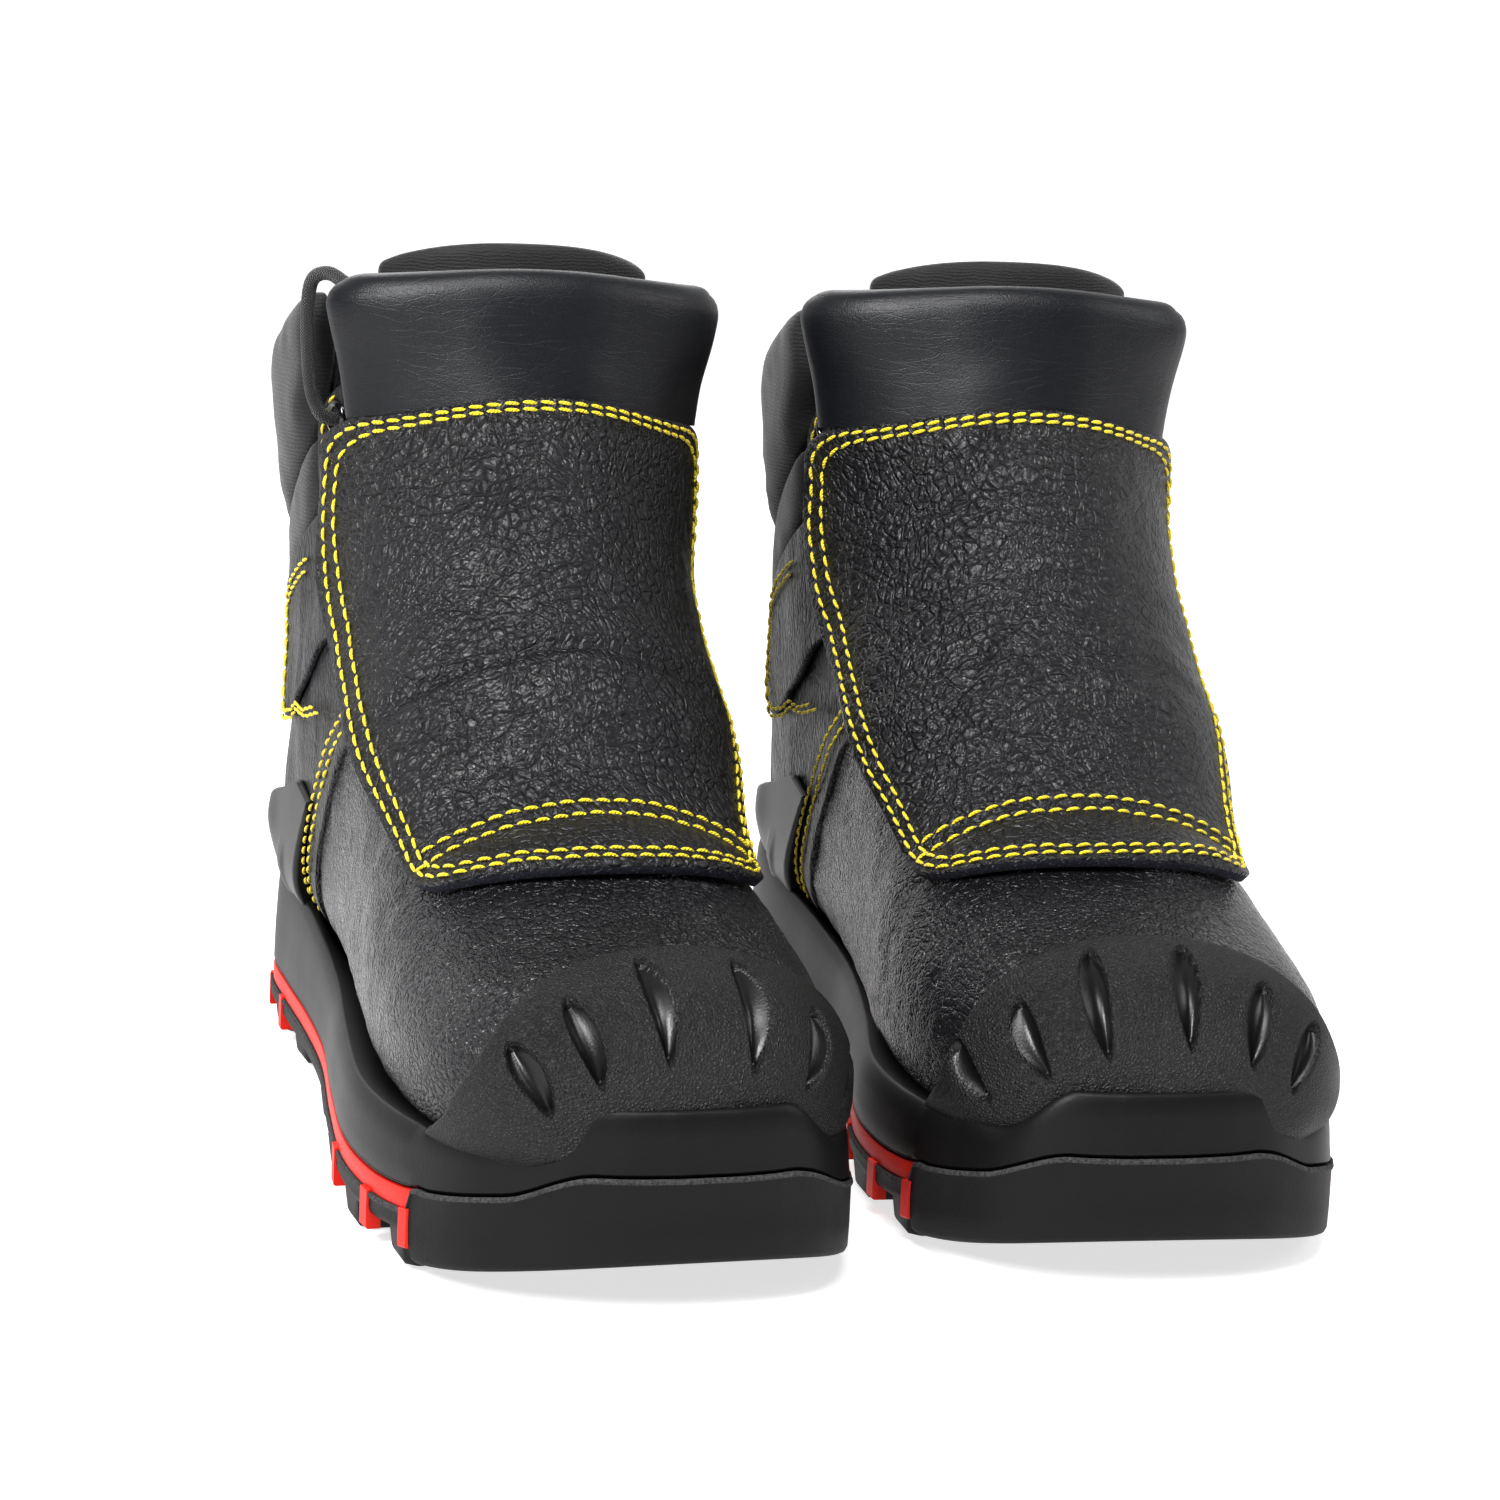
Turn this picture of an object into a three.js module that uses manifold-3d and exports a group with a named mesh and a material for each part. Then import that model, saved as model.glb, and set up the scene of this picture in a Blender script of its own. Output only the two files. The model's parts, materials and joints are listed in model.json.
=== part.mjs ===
// A pair of welder's safety boots: leather ankle boots with a moulded sole, a rubber toe guard, a padded
// collar and a hinged leather flap that covers the laces. Millimetres, +Z up, toes towards -Y.
// The left boot is modelled in its own frame with its outer side towards +X, and the right boot is its mirror.
import * as THREE from "three";
import { mergeVertices } from "three/addons/utils/BufferGeometryUtils.js";
import Module from "manifold-3d";

const wasm = await Module();
wasm.setup();

// ---------------------------------------------------------------- driving dimensions
const BOOT_LENGTH = 305; // sole, heel to toe
const BOOT_WIDTH = 113; // sole, across the ball of the foot
const UPPER_HEIGHT = 179; // from the bottom of the upper to the tip of the flap's profile
const SOLE_HEIGHT = 27; // ground to the bottom of the upper at the ball of the foot
const BOOT_SPACING = 129.7; // between the two boots' centre lines
const STAGGER = 8.9; // how far the left boot stands behind the right one
const LEFT_YAW = -1.1; // degrees, each boot about its own middle
const RIGHT_YAW = 4.75;
const TOE_SPRING = 11; // how far the sole's tip clears the ground
const HEEL_BEVEL = 5; // how far the heel's back edge clears the ground

const LUG_DEPTH = 7;
const OUTSOLE_PLATE = 5;
const INSERT_THICKNESS = 5;
const FOREFOOT_LUGS = 5; // tread blocks along each side
const HEEL_LUGS = 3;
const WRAP_WALL = 3.4; // outsole wall that wraps round the toe
const WRAP_RISE = 12; // how far that wall stands above the plate
const SIDE_INSET = 0.8; // midsole and insert stand back from the sole's edge
const LEATHER = 2;
const LINING = 1.2;
const TOE_CAP = 2;
const COUNTER = 1.4;
const GUARD = 3.8; // toe guard's outer face above the leather
const STABILISER = 3.6;
const COLLAR_PUFF = 5.5;
const TONGUE = 5.5;
const FLAP = 3;
const FLAP_PAD = 8;
const FLAP_CLEARANCE = 0.7; // flap's underside above the lace
const FLAP_STAND = 3; // how much more its side edges stand off
const PANEL = 1.6; // side panels, on top of the quarters
const TAPE = 1.2; // hook or loop tape
const EYELETS = 5; // pairs
const EYELET_RADIUS = 4.7;
const EYELET_HOLE = 2.8;
const LACE_DIAMETER = 3.6;
const LACE_BOW = 3.1; // lace's underside above the facing where it leaves an eyelet
const BACKING = 0.8; // strip behind the facing that the eyelets are set in
const GAP = 0.3; // between pieces that touch
const LAYER_GAP = 1.2; // between the layers of the upper
const HIDDEN_GAP = 1.6; // round the toe cap and the heel counter

// ---------------------------------------------------------------- shape of the upper
// Sections from the toe's tip to the collar. front and back are the ends of a section in the plane x = 0, as
// shares of the boot's length and of the upper's height; outer and inner are half widths as shares of the sole's
// width; level is where along the section it is widest, and square how boxy it is above that.
const SECTIONS = [
  { front: [-0.479, 0.082], back: [-0.479, 0.082], outer: 0, inner: 0, level: 0.4, square: 2.2 },
  { front: [-0.467, 0.164], back: [-0.467, 0.022], outer: 0.22, inner: 0.205, level: 0.36, square: 2.3 },
  { front: [-0.443, 0.219], back: [-0.443, 0.014], outer: 0.338, inner: 0.308, level: 0.34, square: 2.4 },
  { front: [-0.397, 0.257], back: [-0.4, 0.005], outer: 0.418, inner: 0.382, level: 0.33, square: 2.4 },
  { front: [-0.331, 0.29], back: [-0.331, 0], outer: 0.46, inner: 0.422, level: 0.33, square: 2.35 },
  { front: [-0.262, 0.333], back: [-0.256, 0], outer: 0.47, inner: 0.432, level: 0.34, square: 2.25 },
  { front: [-0.197, 0.393], back: [-0.164, 0], outer: 0.458, inner: 0.418, level: 0.36, square: 2.15 },
  { front: [-0.138, 0.475], back: [-0.046, 0.005], outer: 0.428, inner: 0.38, level: 0.39, square: 2.1 },
  { front: [-0.089, 0.568], back: [0.092, 0.022], outer: 0.398, inner: 0.354, level: 0.42, square: 2.1 },
  { front: [-0.046, 0.672], back: [0.262, 0.044], outer: 0.385, inner: 0.35, level: 0.45, square: 2.1 },
  { front: [-0.013, 0.77], back: [0.407, 0.066], outer: 0.388, inner: 0.363, level: 0.47, square: 2.1 },
  { front: [0.01, 0.858], back: [0.459, 0.191], outer: 0.376, inner: 0.376, level: 0.48, square: 2.1 },
  { front: [0.026, 0.934], back: [0.456, 0.372], outer: 0.381, inner: 0.381, level: 0.5, square: 2.15 },
  { front: [0.039, 1.0], back: [0.436, 0.563], outer: 0.389, inner: 0.389, level: 0.5, square: 2.2 },
  { front: [0.049, 1.06], back: [0.42, 0.727], outer: 0.407, inner: 0.407, level: 0.5, square: 2.25 },
  { front: [0.056, 1.12], back: [0.413, 0.863], outer: 0.425, inner: 0.425, level: 0.5, square: 2.3 },
];
const LAST_SECTION = SECTIONS.length - 1;
const FLOOR_SQUARE = 3.6; // how boxy the sections are below their widest level

const clamp = (v, lo, hi) => Math.min(hi, Math.max(lo, v));
const mix = (a, b, k) => a + (b - a) * k;
const smooth = (v, lo, hi) => THREE.MathUtils.smoothstep(v, lo, hi);

// A smooth curve through a list of numbers, at a fractional index.
function through(list, index) {
  const at = clamp(index, 0, list.length - 1);
  const i = Math.min(Math.floor(at), list.length - 2);
  const k = at - i;
  const [b, c] = [list[i], list[i + 1]];
  const a = i > 0 ? list[i - 1] : 2 * b - c;
  const d = i + 2 < list.length ? list[i + 2] : 2 * c - b;
  return b + 0.5 * k * (c - a + k * (2 * a - 5 * b + 4 * c - d + k * (3 * (b - c) + d - a)));
}

const column = (pick) => SECTIONS.map(pick);
const SHAPE = {
  frontY: column((s) => s.front[0] * BOOT_LENGTH),
  frontZ: column((s) => SOLE_HEIGHT + s.front[1] * UPPER_HEIGHT),
  backY: column((s) => s.back[0] * BOOT_LENGTH),
  backZ: column((s) => SOLE_HEIGHT + s.back[1] * UPPER_HEIGHT),
  outer: column((s) => s.outer * BOOT_WIDTH),
  inner: column((s) => s.inner * BOOT_WIDTH),
  level: column((s) => s.level),
  square: column((s) => s.square),
};

const power = (v, n) => Math.sign(v) * Math.abs(v) ** n;

// A point on the leather's outer face. section is a fractional index into SECTIONS; turn goes from 0 at the
// front ridge to 1 at the back or bottom, positive on the outer side.
function skin(section, turn) {
  const at = (key) => through(SHAPE[key], section);
  const angle = turn * Math.PI;
  const up = Math.cos(angle);
  const square = up > 0 ? at("square") : mix(FLOOR_SQUARE, at("square"), smooth(section, 9.5, 11.5));
  const side = Math.max(0, Math.sin(angle) > 0 ? at("outer") : at("inner"));
  const level = at("level");
  const along = level + (up > 0 ? 1 - level : level) * power(up, 2 / square);
  return new THREE.Vector3(
    side * power(Math.sin(angle), 2 / square),
    mix(at("backY"), at("frontY"), along),
    mix(at("backZ"), at("frontZ"), along),
  );
}

const NORMAL_STEP = 0.02;
const TIP_ZONE = 0.6; // near the toe's tip the normal turns to face straight ahead

// The same point moved out along the surface's normal by some millimetres.
function upper(section, turn, out = 0) {
  const p = skin(section, turn);
  if (out === 0) return p;
  const s0 = Math.max(section - NORMAL_STEP, 0.01);
  const s1 = Math.min(section + NORMAL_STEP, LAST_SECTION);
  const along = skin(s1, turn).sub(skin(s0, turn));
  const around = skin(section, turn + NORMAL_STEP / 2).sub(skin(section, turn - NORMAL_STEP / 2));
  const normal = around.cross(along).normalize();
  const ahead = new THREE.Vector3(0, -1, 0);
  normal.lerp(ahead, 1 - smooth(section, 0, TIP_ZONE)).normalize();
  return p.addScaledVector(normal, out);
}

// ---------------------------------------------------------------- solids
const WELD = 1e-4;

// A closed solid from points and triangles. Corners that fall on one place are joined.
function solid(points, triangles) {
  const keys = new Map();
  const place = [];
  const index = points.map((p) => {
    const key = p.toArray().map((v) => Math.round(v / WELD)).join();
    if (!keys.has(key)) {
      keys.set(key, place.length / 3);
      place.push(...p.toArray());
    }
    return keys.get(key);
  });
  const corners = triangles
    .map((t) => t.map((i) => index[i]))
    .filter(([a, b, c]) => a !== b && b !== c && c !== a)
    .flat();
  const mesh = new wasm.Mesh({
    numProp: 3,
    vertProperties: new Float32Array(place),
    triVerts: new Uint32Array(corners),
  });
  const made = new wasm.Manifold(mesh);
  if (made.volume() > 0) return made;
  const turned = [];
  for (let i = 0; i < corners.length; i += 3) turned.push(corners[i], corners[i + 2], corners[i + 1]);
  return new wasm.Manifold(
    new wasm.Mesh({
      numProp: 3,
      vertProperties: new Float32Array(place),
      triVerts: new Uint32Array(turned),
    }),
  );
}

// The biggest separate piece of a solid, without the slivers that a cut can leave.
function largest(made) {
  return made.decompose().sort((a, b) => b.volume() - a.volume())[0];
}

// A three.js geometry as a solid.
function solidOf(geometry) {
  const bare = geometry.clone();
  bare.deleteAttribute("normal");
  bare.deleteAttribute("uv");
  const merged = mergeVertices(bare, 1e-3);
  return new wasm.Manifold(
    new wasm.Mesh({
      numProp: 3,
      vertProperties: merged.attributes.position.array,
      triVerts: new Uint32Array(merged.index.array),
    }),
  );
}

// A curved plate between two faces. outside(a, b) and inside(a, b) give points for a and b from 0 to 1. ring
// closes it round b, and tip says that its first edge shrinks to one point.
function plate({ outside, inside, rows, columns, ring = false, tip = false }) {
  const points = [];
  const faces = [];
  const width = columns + 1;
  const count = (rows + 1) * width;
  for (const face of [outside, inside]) {
    for (let i = 0; i <= rows; i++) {
      for (let j = 0; j <= columns; j++) points.push(face(i / rows, j / columns));
    }
  }
  const at = (i, j, layer) => layer * count + i * width + j;
  const quad = (a, b, c, d) => faces.push([a, b, c], [a, c, d]);
  for (let i = 0; i < rows; i++) {
    for (let j = 0; j < columns; j++) {
      quad(at(i, j, 0), at(i, j + 1, 0), at(i + 1, j + 1, 0), at(i + 1, j, 0));
      quad(at(i, j, 1), at(i + 1, j, 1), at(i + 1, j + 1, 1), at(i, j + 1, 1));
    }
  }
  for (let j = 0; j < columns; j++) {
    if (!tip) quad(at(0, j, 0), at(0, j, 1), at(0, j + 1, 1), at(0, j + 1, 0));
    quad(at(rows, j, 0), at(rows, j + 1, 0), at(rows, j + 1, 1), at(rows, j, 1));
  }
  for (let i = 0; i < rows && !ring; i++) {
    quad(at(i, 0, 0), at(i + 1, 0, 0), at(i + 1, 0, 1), at(i, 0, 1));
    quad(at(i, columns, 0), at(i, columns, 1), at(i + 1, columns, 1), at(i + 1, columns, 0));
  }
  return solid(points, faces);
}

// A plate that follows the upper. place(a, b) gives [section, turn]; low and high are its distances from the
// leather's outer face, as numbers or as functions of section and turn.
function layer(place, low, high, rows, columns, options = {}) {
  const value = (v, s, t) => (typeof v === "function" ? v(s, t) : v);
  const face = (distance) => (a, b) => {
    const [s, t] = place(a, b);
    return upper(s, t, value(distance, s, t));
  };
  return plate({ outside: face(high), inside: face(low), rows, columns, ...options });
}

// A solid through a row of cross-sections that have the same even number of points.
function loft(sections) {
  const size = sections[0].length;
  const points = sections.flat();
  const faces = [];
  for (let i = 0; i + 1 < sections.length; i++) {
    for (let j = 0; j < size; j++) {
      const k = (j + 1) % size;
      const [a, b, c, d] = [i * size + j, i * size + k, (i + 1) * size + k, (i + 1) * size + j];
      faces.push([a, b, c], [a, c, d]);
    }
  }
  const last = (sections.length - 1) * size;
  for (let j = 0; j + 1 < size / 2; j++) {
    const [a, b, c, d] = [j, j + 1, size - 2 - j, size - 1 - j];
    faces.push([a, c, b], [a, d, c], [last + a, last + b, last + c], [last + a, last + c, last + d]);
  }
  return solid(points, faces);
}

// ---------------------------------------------------------------- sole
// Half widths of the sole along its length, as shares of the boot's length and of the sole's width.
const SOLE_STATIONS = [
  { y: -0.5, outer: 0.03, inner: 0.1 },
  { y: -0.493, outer: 0.15, inner: 0.2 },
  { y: -0.472, outer: 0.28, inner: 0.31 },
  { y: -0.425, outer: 0.415, inner: 0.4 },
  { y: -0.335, outer: 0.5, inner: 0.465 },
  { y: -0.22, outer: 0.526, inner: 0.474 },
  { y: -0.08, outer: 0.48, inner: 0.4 },
  { y: 0.07, outer: 0.415, inner: 0.34 },
  { y: 0.2, outer: 0.385, inner: 0.345 },
  { y: 0.32, outer: 0.37, inner: 0.365 },
  { y: 0.41, outer: 0.352, inner: 0.35 },
  { y: 0.462, outer: 0.29, inner: 0.29 },
  { y: 0.49, outer: 0.18, inner: 0.18 },
  { y: 0.5, outer: 0.05, inner: 0.05 },
];
const soleY = (i) => through(SOLE_STATIONS.map((s) => s.y * BOOT_LENGTH), i);
const soleOuter = (i) => through(SOLE_STATIONS.map((s) => s.outer * BOOT_WIDTH), i);
const soleInner = (i) => through(SOLE_STATIONS.map((s) => s.inner * BOOT_WIDTH), i);
const LAST_STATION = SOLE_STATIONS.length - 1;

// How far the sole's underside clears the ground at y.
function rise(y) {
  const toe = clamp((-0.28 - y / BOOT_LENGTH) / 0.22, 0, 1);
  const heel = clamp((y / BOOT_LENGTH - 0.42) / 0.08, 0, 1);
  return TOE_SPRING * toe ** 2 + HEEL_BEVEL * heel ** 2;
}

// A solid with the sole's outline. levels is a list of { z(y), inset(y) } from the bottom up; z is above the
// underside, and inset is how far the edge stands back.
function soleSolid(levels, from = 0, to = LAST_STATION) {
  const sections = [];
  for (let i = from; i <= to; i += 0.5) {
    const full = soleY(i);
    const ring = { left: [], right: [] };
    for (const { z, inset } of levels) {
      const back = inset(full);
      const y = full * (1 - back / (BOOT_LENGTH / 2));
      const height = rise(full) + z(full);
      ring.left.push(new THREE.Vector3(Math.max(soleOuter(i) - back, 1), y, height));
      ring.right.unshift(new THREE.Vector3(-Math.max(soleInner(i) - back, 1), y, height));
    }
    sections.push([...ring.left, ...ring.right]);
  }
  return loft(sections);
}

const flat = (v) => () => v;
const PLATE_TOP = LUG_DEPTH + OUTSOLE_PLATE;
const INSERT_BOTTOM = PLATE_TOP + GAP;
const INSERT_TOP = INSERT_BOTTOM + INSERT_THICKNESS;
const MIDSOLE_BOTTOM = INSERT_TOP + GAP;
const toeZone = (y) => 1 - smooth(y / BOOT_LENGTH, -0.38, -0.33); // 1 where the outsole wraps the toe
const inside = (y) => mix(SIDE_INSET, WRAP_WALL + GAP, toeZone(y));
const RIM = [46, 45, 38, 34, 33, 33, 34, 36, 41, 47, 52, 55, 56, 56]; // midsole's top edge at each station
const rim = (y) => {
  const ys = SOLE_STATIONS.map((s) => s.y * BOOT_LENGTH);
  let i = ys.findIndex((v) => v > y);
  i = i < 0 ? ys.length - 1 : Math.max(i, 1);
  return mix(RIM[i - 1], RIM[i], clamp((y - ys[i - 1]) / (ys[i] - ys[i - 1]), 0, 1)) - rise(y);
};

// One tread block: a short prism with tapered sides.
function lug(x, y, width, length, turn = 0) {
  const height = LUG_DEPTH + 1;
  const box = new THREE.BoxGeometry(width, length, height);
  box.rotateZ(turn);
  box.translate(x, y, rise(y) + height / 2);
  return solidOf(box);
}

function outsole() {
  const outer = soleSolid([
    { z: (y) => mix(LUG_DEPTH, 2, toeZone(y)), inset: flat(1) },
    { z: (y) => PLATE_TOP + WRAP_RISE * toeZone(y), inset: flat(0) },
  ]);
  const hollow = soleSolid([
    { z: flat(PLATE_TOP), inset: (y) => inside(y) - GAP },
    { z: flat(70), inset: (y) => inside(y) - GAP },
  ]);
  let made = outer.subtract(hollow);
  for (let n = 0; n < FOREFOOT_LUGS; n++) {
    const i = mix(3, 6.8, n / (FOREFOOT_LUGS - 1));
    const y = soleY(i);
    for (const [edge, way] of [[soleOuter(i), 1], [soleInner(i), -1]]) {
      made = made.add(lug(way * (edge - 13), y, 22, 17));
      if (n % 2 === 0) made = made.add(lug(way * (edge - 36) * 0.7, y + 10, 15, 14));
    }
  }
  for (let n = 0; n < HEEL_LUGS; n++) {
    const i = mix(8.5, 10.8, n / (HEEL_LUGS - 1));
    const y = soleY(i);
    for (const [edge, way] of [[soleOuter(i), 1], [soleInner(i), -1]]) {
      made = made.add(lug(way * (edge - 14), y, 22, 19));
    }
  }
  return made;
}

function soleInsert() {
  return soleSolid(
    [
      { z: flat(INSERT_BOTTOM), inset: inside },
      { z: flat(INSERT_TOP), inset: inside },
    ],
    0.5,
    LAST_STATION - 0.5,
  );
}

// The upper's lower part as one closed solid, grown by some millimetres.
function upperSolid(out, top = 11.5, columns = 24) {
  const rings = [];
  for (let section = 0; section <= top; section += 0.5) {
    rings.push(Array.from({ length: columns }, (_, j) => upper(section, 1 - (2 * j) / columns, out)));
  }
  return loft(rings);
}

// ---------------------------------------------------------------- toe guard
// The guard's rear edge runs back along the sides, and its lower edge steps down from a middle plateau.
const guardEdge = (k) => mix(3.15, 4.4, smooth(Math.abs(k), 0.55, 0.95));
const guardFoot = (section) => mix(0.37, 0.62, smooth(section, 0.7, 2.6));
const guardSolid = (low, high, more) =>
  layer(
    (a, b) => {
      const section = a * (guardEdge(2 * b - 1) + more);
      return [section, (2 * b - 1) * (guardFoot(section) + more)];
    },
    low, high, 7, 14, { tip: true },
  );

// ---------------------------------------------------------------- midsole and heel stabiliser
// The midsole before the foot's hollow is cut: it fills the outsole's wall and lips out above it.
function midsoleBlock(grow) {
  const wall = (y) => MIDSOLE_BOTTOM + mix(2.5, PLATE_TOP + WRAP_RISE + LAYER_GAP - MIDSOLE_BOTTOM, toeZone(y));
  return soleSolid([
    { z: flat(MIDSOLE_BOTTOM), inset: (y) => inside(y) - grow },
    { z: wall, inset: (y) => inside(y) - grow },
    { z: (y) => wall(y) + 0.4, inset: flat(SIDE_INSET - grow) },
    { z: (y) => rim(y) + grow, inset: (y) => mix(3, 4.5, toeZone(y)) - grow },
  ]);
}

const STABILISER_FRONT = 0.6;
function heelStabiliser(block) {
  const place = (a, b) => {
    const t = mix(STABILISER_FRONT, 2 - STABILISER_FRONT, b);
    const side = Math.abs(t - 1) / (1 - STABILISER_FRONT);
    return [mix(9.2, mix(11.15, 9.9, side ** 2), a), t];
  };
  return largest(layer(place, LAYER_GAP, LAYER_GAP + STABILISER, 6, 16).subtract(block));
}

// ---------------------------------------------------------------- upper's pieces
const FOOT_TURN = 0.84; // the leather's lower edge
const THROAT = 7.6; // section where the tongue starts
const SEAM = 0.04; // gap between pieces that butt, in sections
const QUARTER_TOP = 12;
const EYESTAY_TOP = 13.2;
const COLLAR_SPLIT = 12.95;
const COLLAR_TOP = 15;
const COLLAR_FRONT = 0.39;
const EYESTAY_TURN = 0.11;
const EDGE_TURN = 0.006; // gap between pieces that butt, in turns

const facing = (s) => mix(0.1, 0.325, smooth(s, THROAT, 12.6)); // the opening's edge, over the tongue
const eyestayBack = (s) => facing(s) + EYESTAY_TURN;
const vampEnd = (t) => mix(THROAT, 8.9, smooth(Math.abs(t), 0.2, 0.45));

const vampPlace = (more) => (a, b) => {
  const t = mix(-FOOT_TURN, FOOT_TURN, b);
  return [a * (vampEnd(t) - SEAM + more), t * (1 + more / 6)];
};
const vamp = () => layer(vampPlace(0), -LEATHER, 0, 10, 12, { tip: true });

const toeCap = () => {
  const place = (a, b) => [a * 4.4, mix(-0.72, 0.72, b)];
  const top = -LEATHER - HIDDEN_GAP;
  return layer(place, top - TOE_CAP, top, 6, 10, { tip: true });
};

// Depth of the lining's outer face: under the leather, and under the cap or the counter where they are.
function liningDepth(s) {
  const cap = (TOE_CAP + HIDDEN_GAP) * (1 - smooth(s, 4.5, 5.5));
  const counter = (COUNTER + HIDDEN_GAP) * smooth(s, 8.5, 9.5) * (1 - smooth(s, 11.4, 12.2));
  return LEATHER + HIDDEN_GAP + cap + counter;
}
const liningOut = (s) => -liningDepth(s);
const liningIn = (s) => -liningDepth(s) - LINING;

const vampLining = () => {
  const place = (a, b) => [a * (THROAT - SEAM), mix(-1, 1, b)];
  return layer(place, liningIn, liningOut, 9, 14, { tip: true, ring: true });
};

const liningFront = (s) => mix(eyestayBack(s), COLLAR_FRONT, smooth(s, EYESTAY_TOP, 14)) + EDGE_TURN;
const quarterLining = () => {
  const place = (a, b) => {
    const s = mix(THROAT + SEAM, COLLAR_TOP, a);
    return [s, mix(liningFront(s), 2 - liningFront(s), b)];
  };
  return layer(place, liningIn, liningOut, 8, 14);
};

const heelCounter = () => {
  const place = (a, b) => [mix(10.2, 11.2, a), mix(0.68, 1.32, b)];
  const top = -LEATHER - HIDDEN_GAP;
  return layer(place, top - COUNTER, top, 4, 12);
};

// A sheet under the foot, on the lining. depth is how far its underside lies inside the lining.
const footSheet = (depth, thick, s1, t1) =>
  layer(
    (a, b) => [mix(2.4, s1, a), mix(t1, 2 - t1, b)],
    (s) => liningIn(s) - depth - thick, (s) => liningIn(s) - depth, 8, 4,
  );
const INSOLE_PLATE = 1.4;
const FOOTBED = 4;

const quarterPlace = (side) => (a, b) => {
  const s = mix(THROAT, QUARTER_TOP - SEAM, a);
  const back = mix(FOOT_TURN, 1 - EDGE_TURN, smooth(s, 9, 10));
  return [s, side * mix(eyestayBack(s) + EDGE_TURN, back, b)];
};
const quarter = (side, vampRoom) =>
  largest(layer(quarterPlace(side), -LEATHER, 0, 8, 8).subtract(vampRoom));

// A side panel's lower edge steps down towards the front; b runs from its front edge to its back edge.
const sidePanel = (side) =>
  layer(
    (a, b) => {
      const s = mix(mix(9.3, 10.8, b ** 0.8), mix(11.5, 11.9, b), a);
      return [s, side * mix(eyestayBack(s) + EDGE_TURN, 0.575, b)];
    },
    LAYER_GAP, LAYER_GAP + PANEL, 4, 5,
  );

const eyestayBlank = (side) =>
  layer(
    (a, b) => {
      const s = mix(THROAT + 0.3, EYESTAY_TOP, a);
      return [s, side * mix(facing(s), eyestayBack(s), b)];
    },
    -LEATHER, LEATHER, 6, 2,
  );

const collarBand = (s0, s1, puff) => {
  const bulge = (s) => puff * Math.sqrt(Math.max(0.15, 1 - ((2 * (s - s0)) / (s1 - s0) - 1) ** 2));
  const place = (a, b) => {
    const s = mix(s0, s1, a);
    return [s, mix(liningFront(s), 2 - liningFront(s), b)];
  };
  return layer(place, -LEATHER, bulge, 4, 16);
};

// ---------------------------------------------------------------- tongue
const TONGUE_TOP = 14.95;
// How deep the tongue's edges lie, under the facing and the lace.
const TONGUE_SINK = LEATHER + BACKING + LACE_DIAMETER + 2.2;
const TONGUE_EDGE = 3;
const tongueWaist = (s) => 0.05 * smooth(s, 11, 12.2) * (1 - smooth(s, 13.1, 14)); // room beside the top strands
const tongueShoulder = (s) => facing(s) - 0.07 - tongueWaist(s);
const tongueDip = (s, t) => smooth(Math.abs(t), tongueShoulder(s), tongueShoulder(s) + 0.06);
const tongueHigh = (s, t) => -mix(1, TONGUE_SINK, tongueDip(s, t));
const tongueLow = (s, t) => tongueHigh(s, t) - mix(TONGUE, TONGUE_EDGE, tongueDip(s, t));
const tongue = () =>
  layer(
    (a, b) => {
      const s = mix(THROAT + SEAM, TONGUE_TOP, a);
      const k = 2 * b - 1;
      return [s, k * (facing(s) + 0.06 - tongueWaist(s))];
    },
    tongueLow, tongueHigh, 9, 12,
  );

// ---------------------------------------------------------------- flap
const FLAP_SEAM = 5.6; // section of the seam that the flap bends at
const FLAP_TURN = 0.32;
const rounded = (t) => (t / FLAP_TURN) ** 2;
const flapFront = (t) => 4.7 + 0.9 * rounded(t);
const flapTop = (t) => 11.7 + 0.85 * rounded(t);
const padTop = (t) => Math.min(14.2 + 0.8 * rounded(t), LAST_SECTION);
const flapLow = (s, t) => {
  const stand = LEATHER + LACE_BOW + LACE_DIAMETER + FLAP_CLEARANCE + FLAP_STAND * smooth(Math.abs(t), 0.1, FLAP_TURN);
  return mix(LAYER_GAP, stand, smooth(s, 5.7, 8));
};
const flapHigh = (s, t) => flapLow(s, t) + FLAP;
const flapBlank = () =>
  layer((a, b) => {
    const half = FLAP_TURN * mix(0.86, 1, smooth(a, 0, 0.25));
    const t = mix(-half, half, b);
    return [mix(flapFront(t), flapTop(t), a), t];
  }, flapLow, flapHigh, 12, 8);

// The hinge line lies along X on the flap's outer face at the seam.
const hingePoint = upper(FLAP_SEAM, 0, flapHigh(FLAP_SEAM, 0));
const hingeAlong = upper(FLAP_SEAM + 0.05, 0, flapHigh(FLAP_SEAM + 0.05, 0)).sub(hingePoint).normalize();
function hingeCut(made, way) {
  const facingPlane = hingeAlong.clone().multiplyScalar(way);
  return largest(made.trimByPlane(facingPlane.toArray(), facingPlane.dot(hingePoint) + GAP / 2));
}

const padLow = (s, t) => flapLow(s, t) - mix(3.6, 1.5, smooth(Math.abs(t), 0.1, 0.3));
const flapPad = () =>
  layer((a, b) => {
    const t = mix(-1, 1, b) * FLAP_TURN * mix(0.97, 1.01, a);
    return [mix(flapTop(t) + SEAM, padTop(t), a), t];
  }, padLow, (s, t) => padLow(s, t) + FLAP_PAD, 4, 8);

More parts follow.
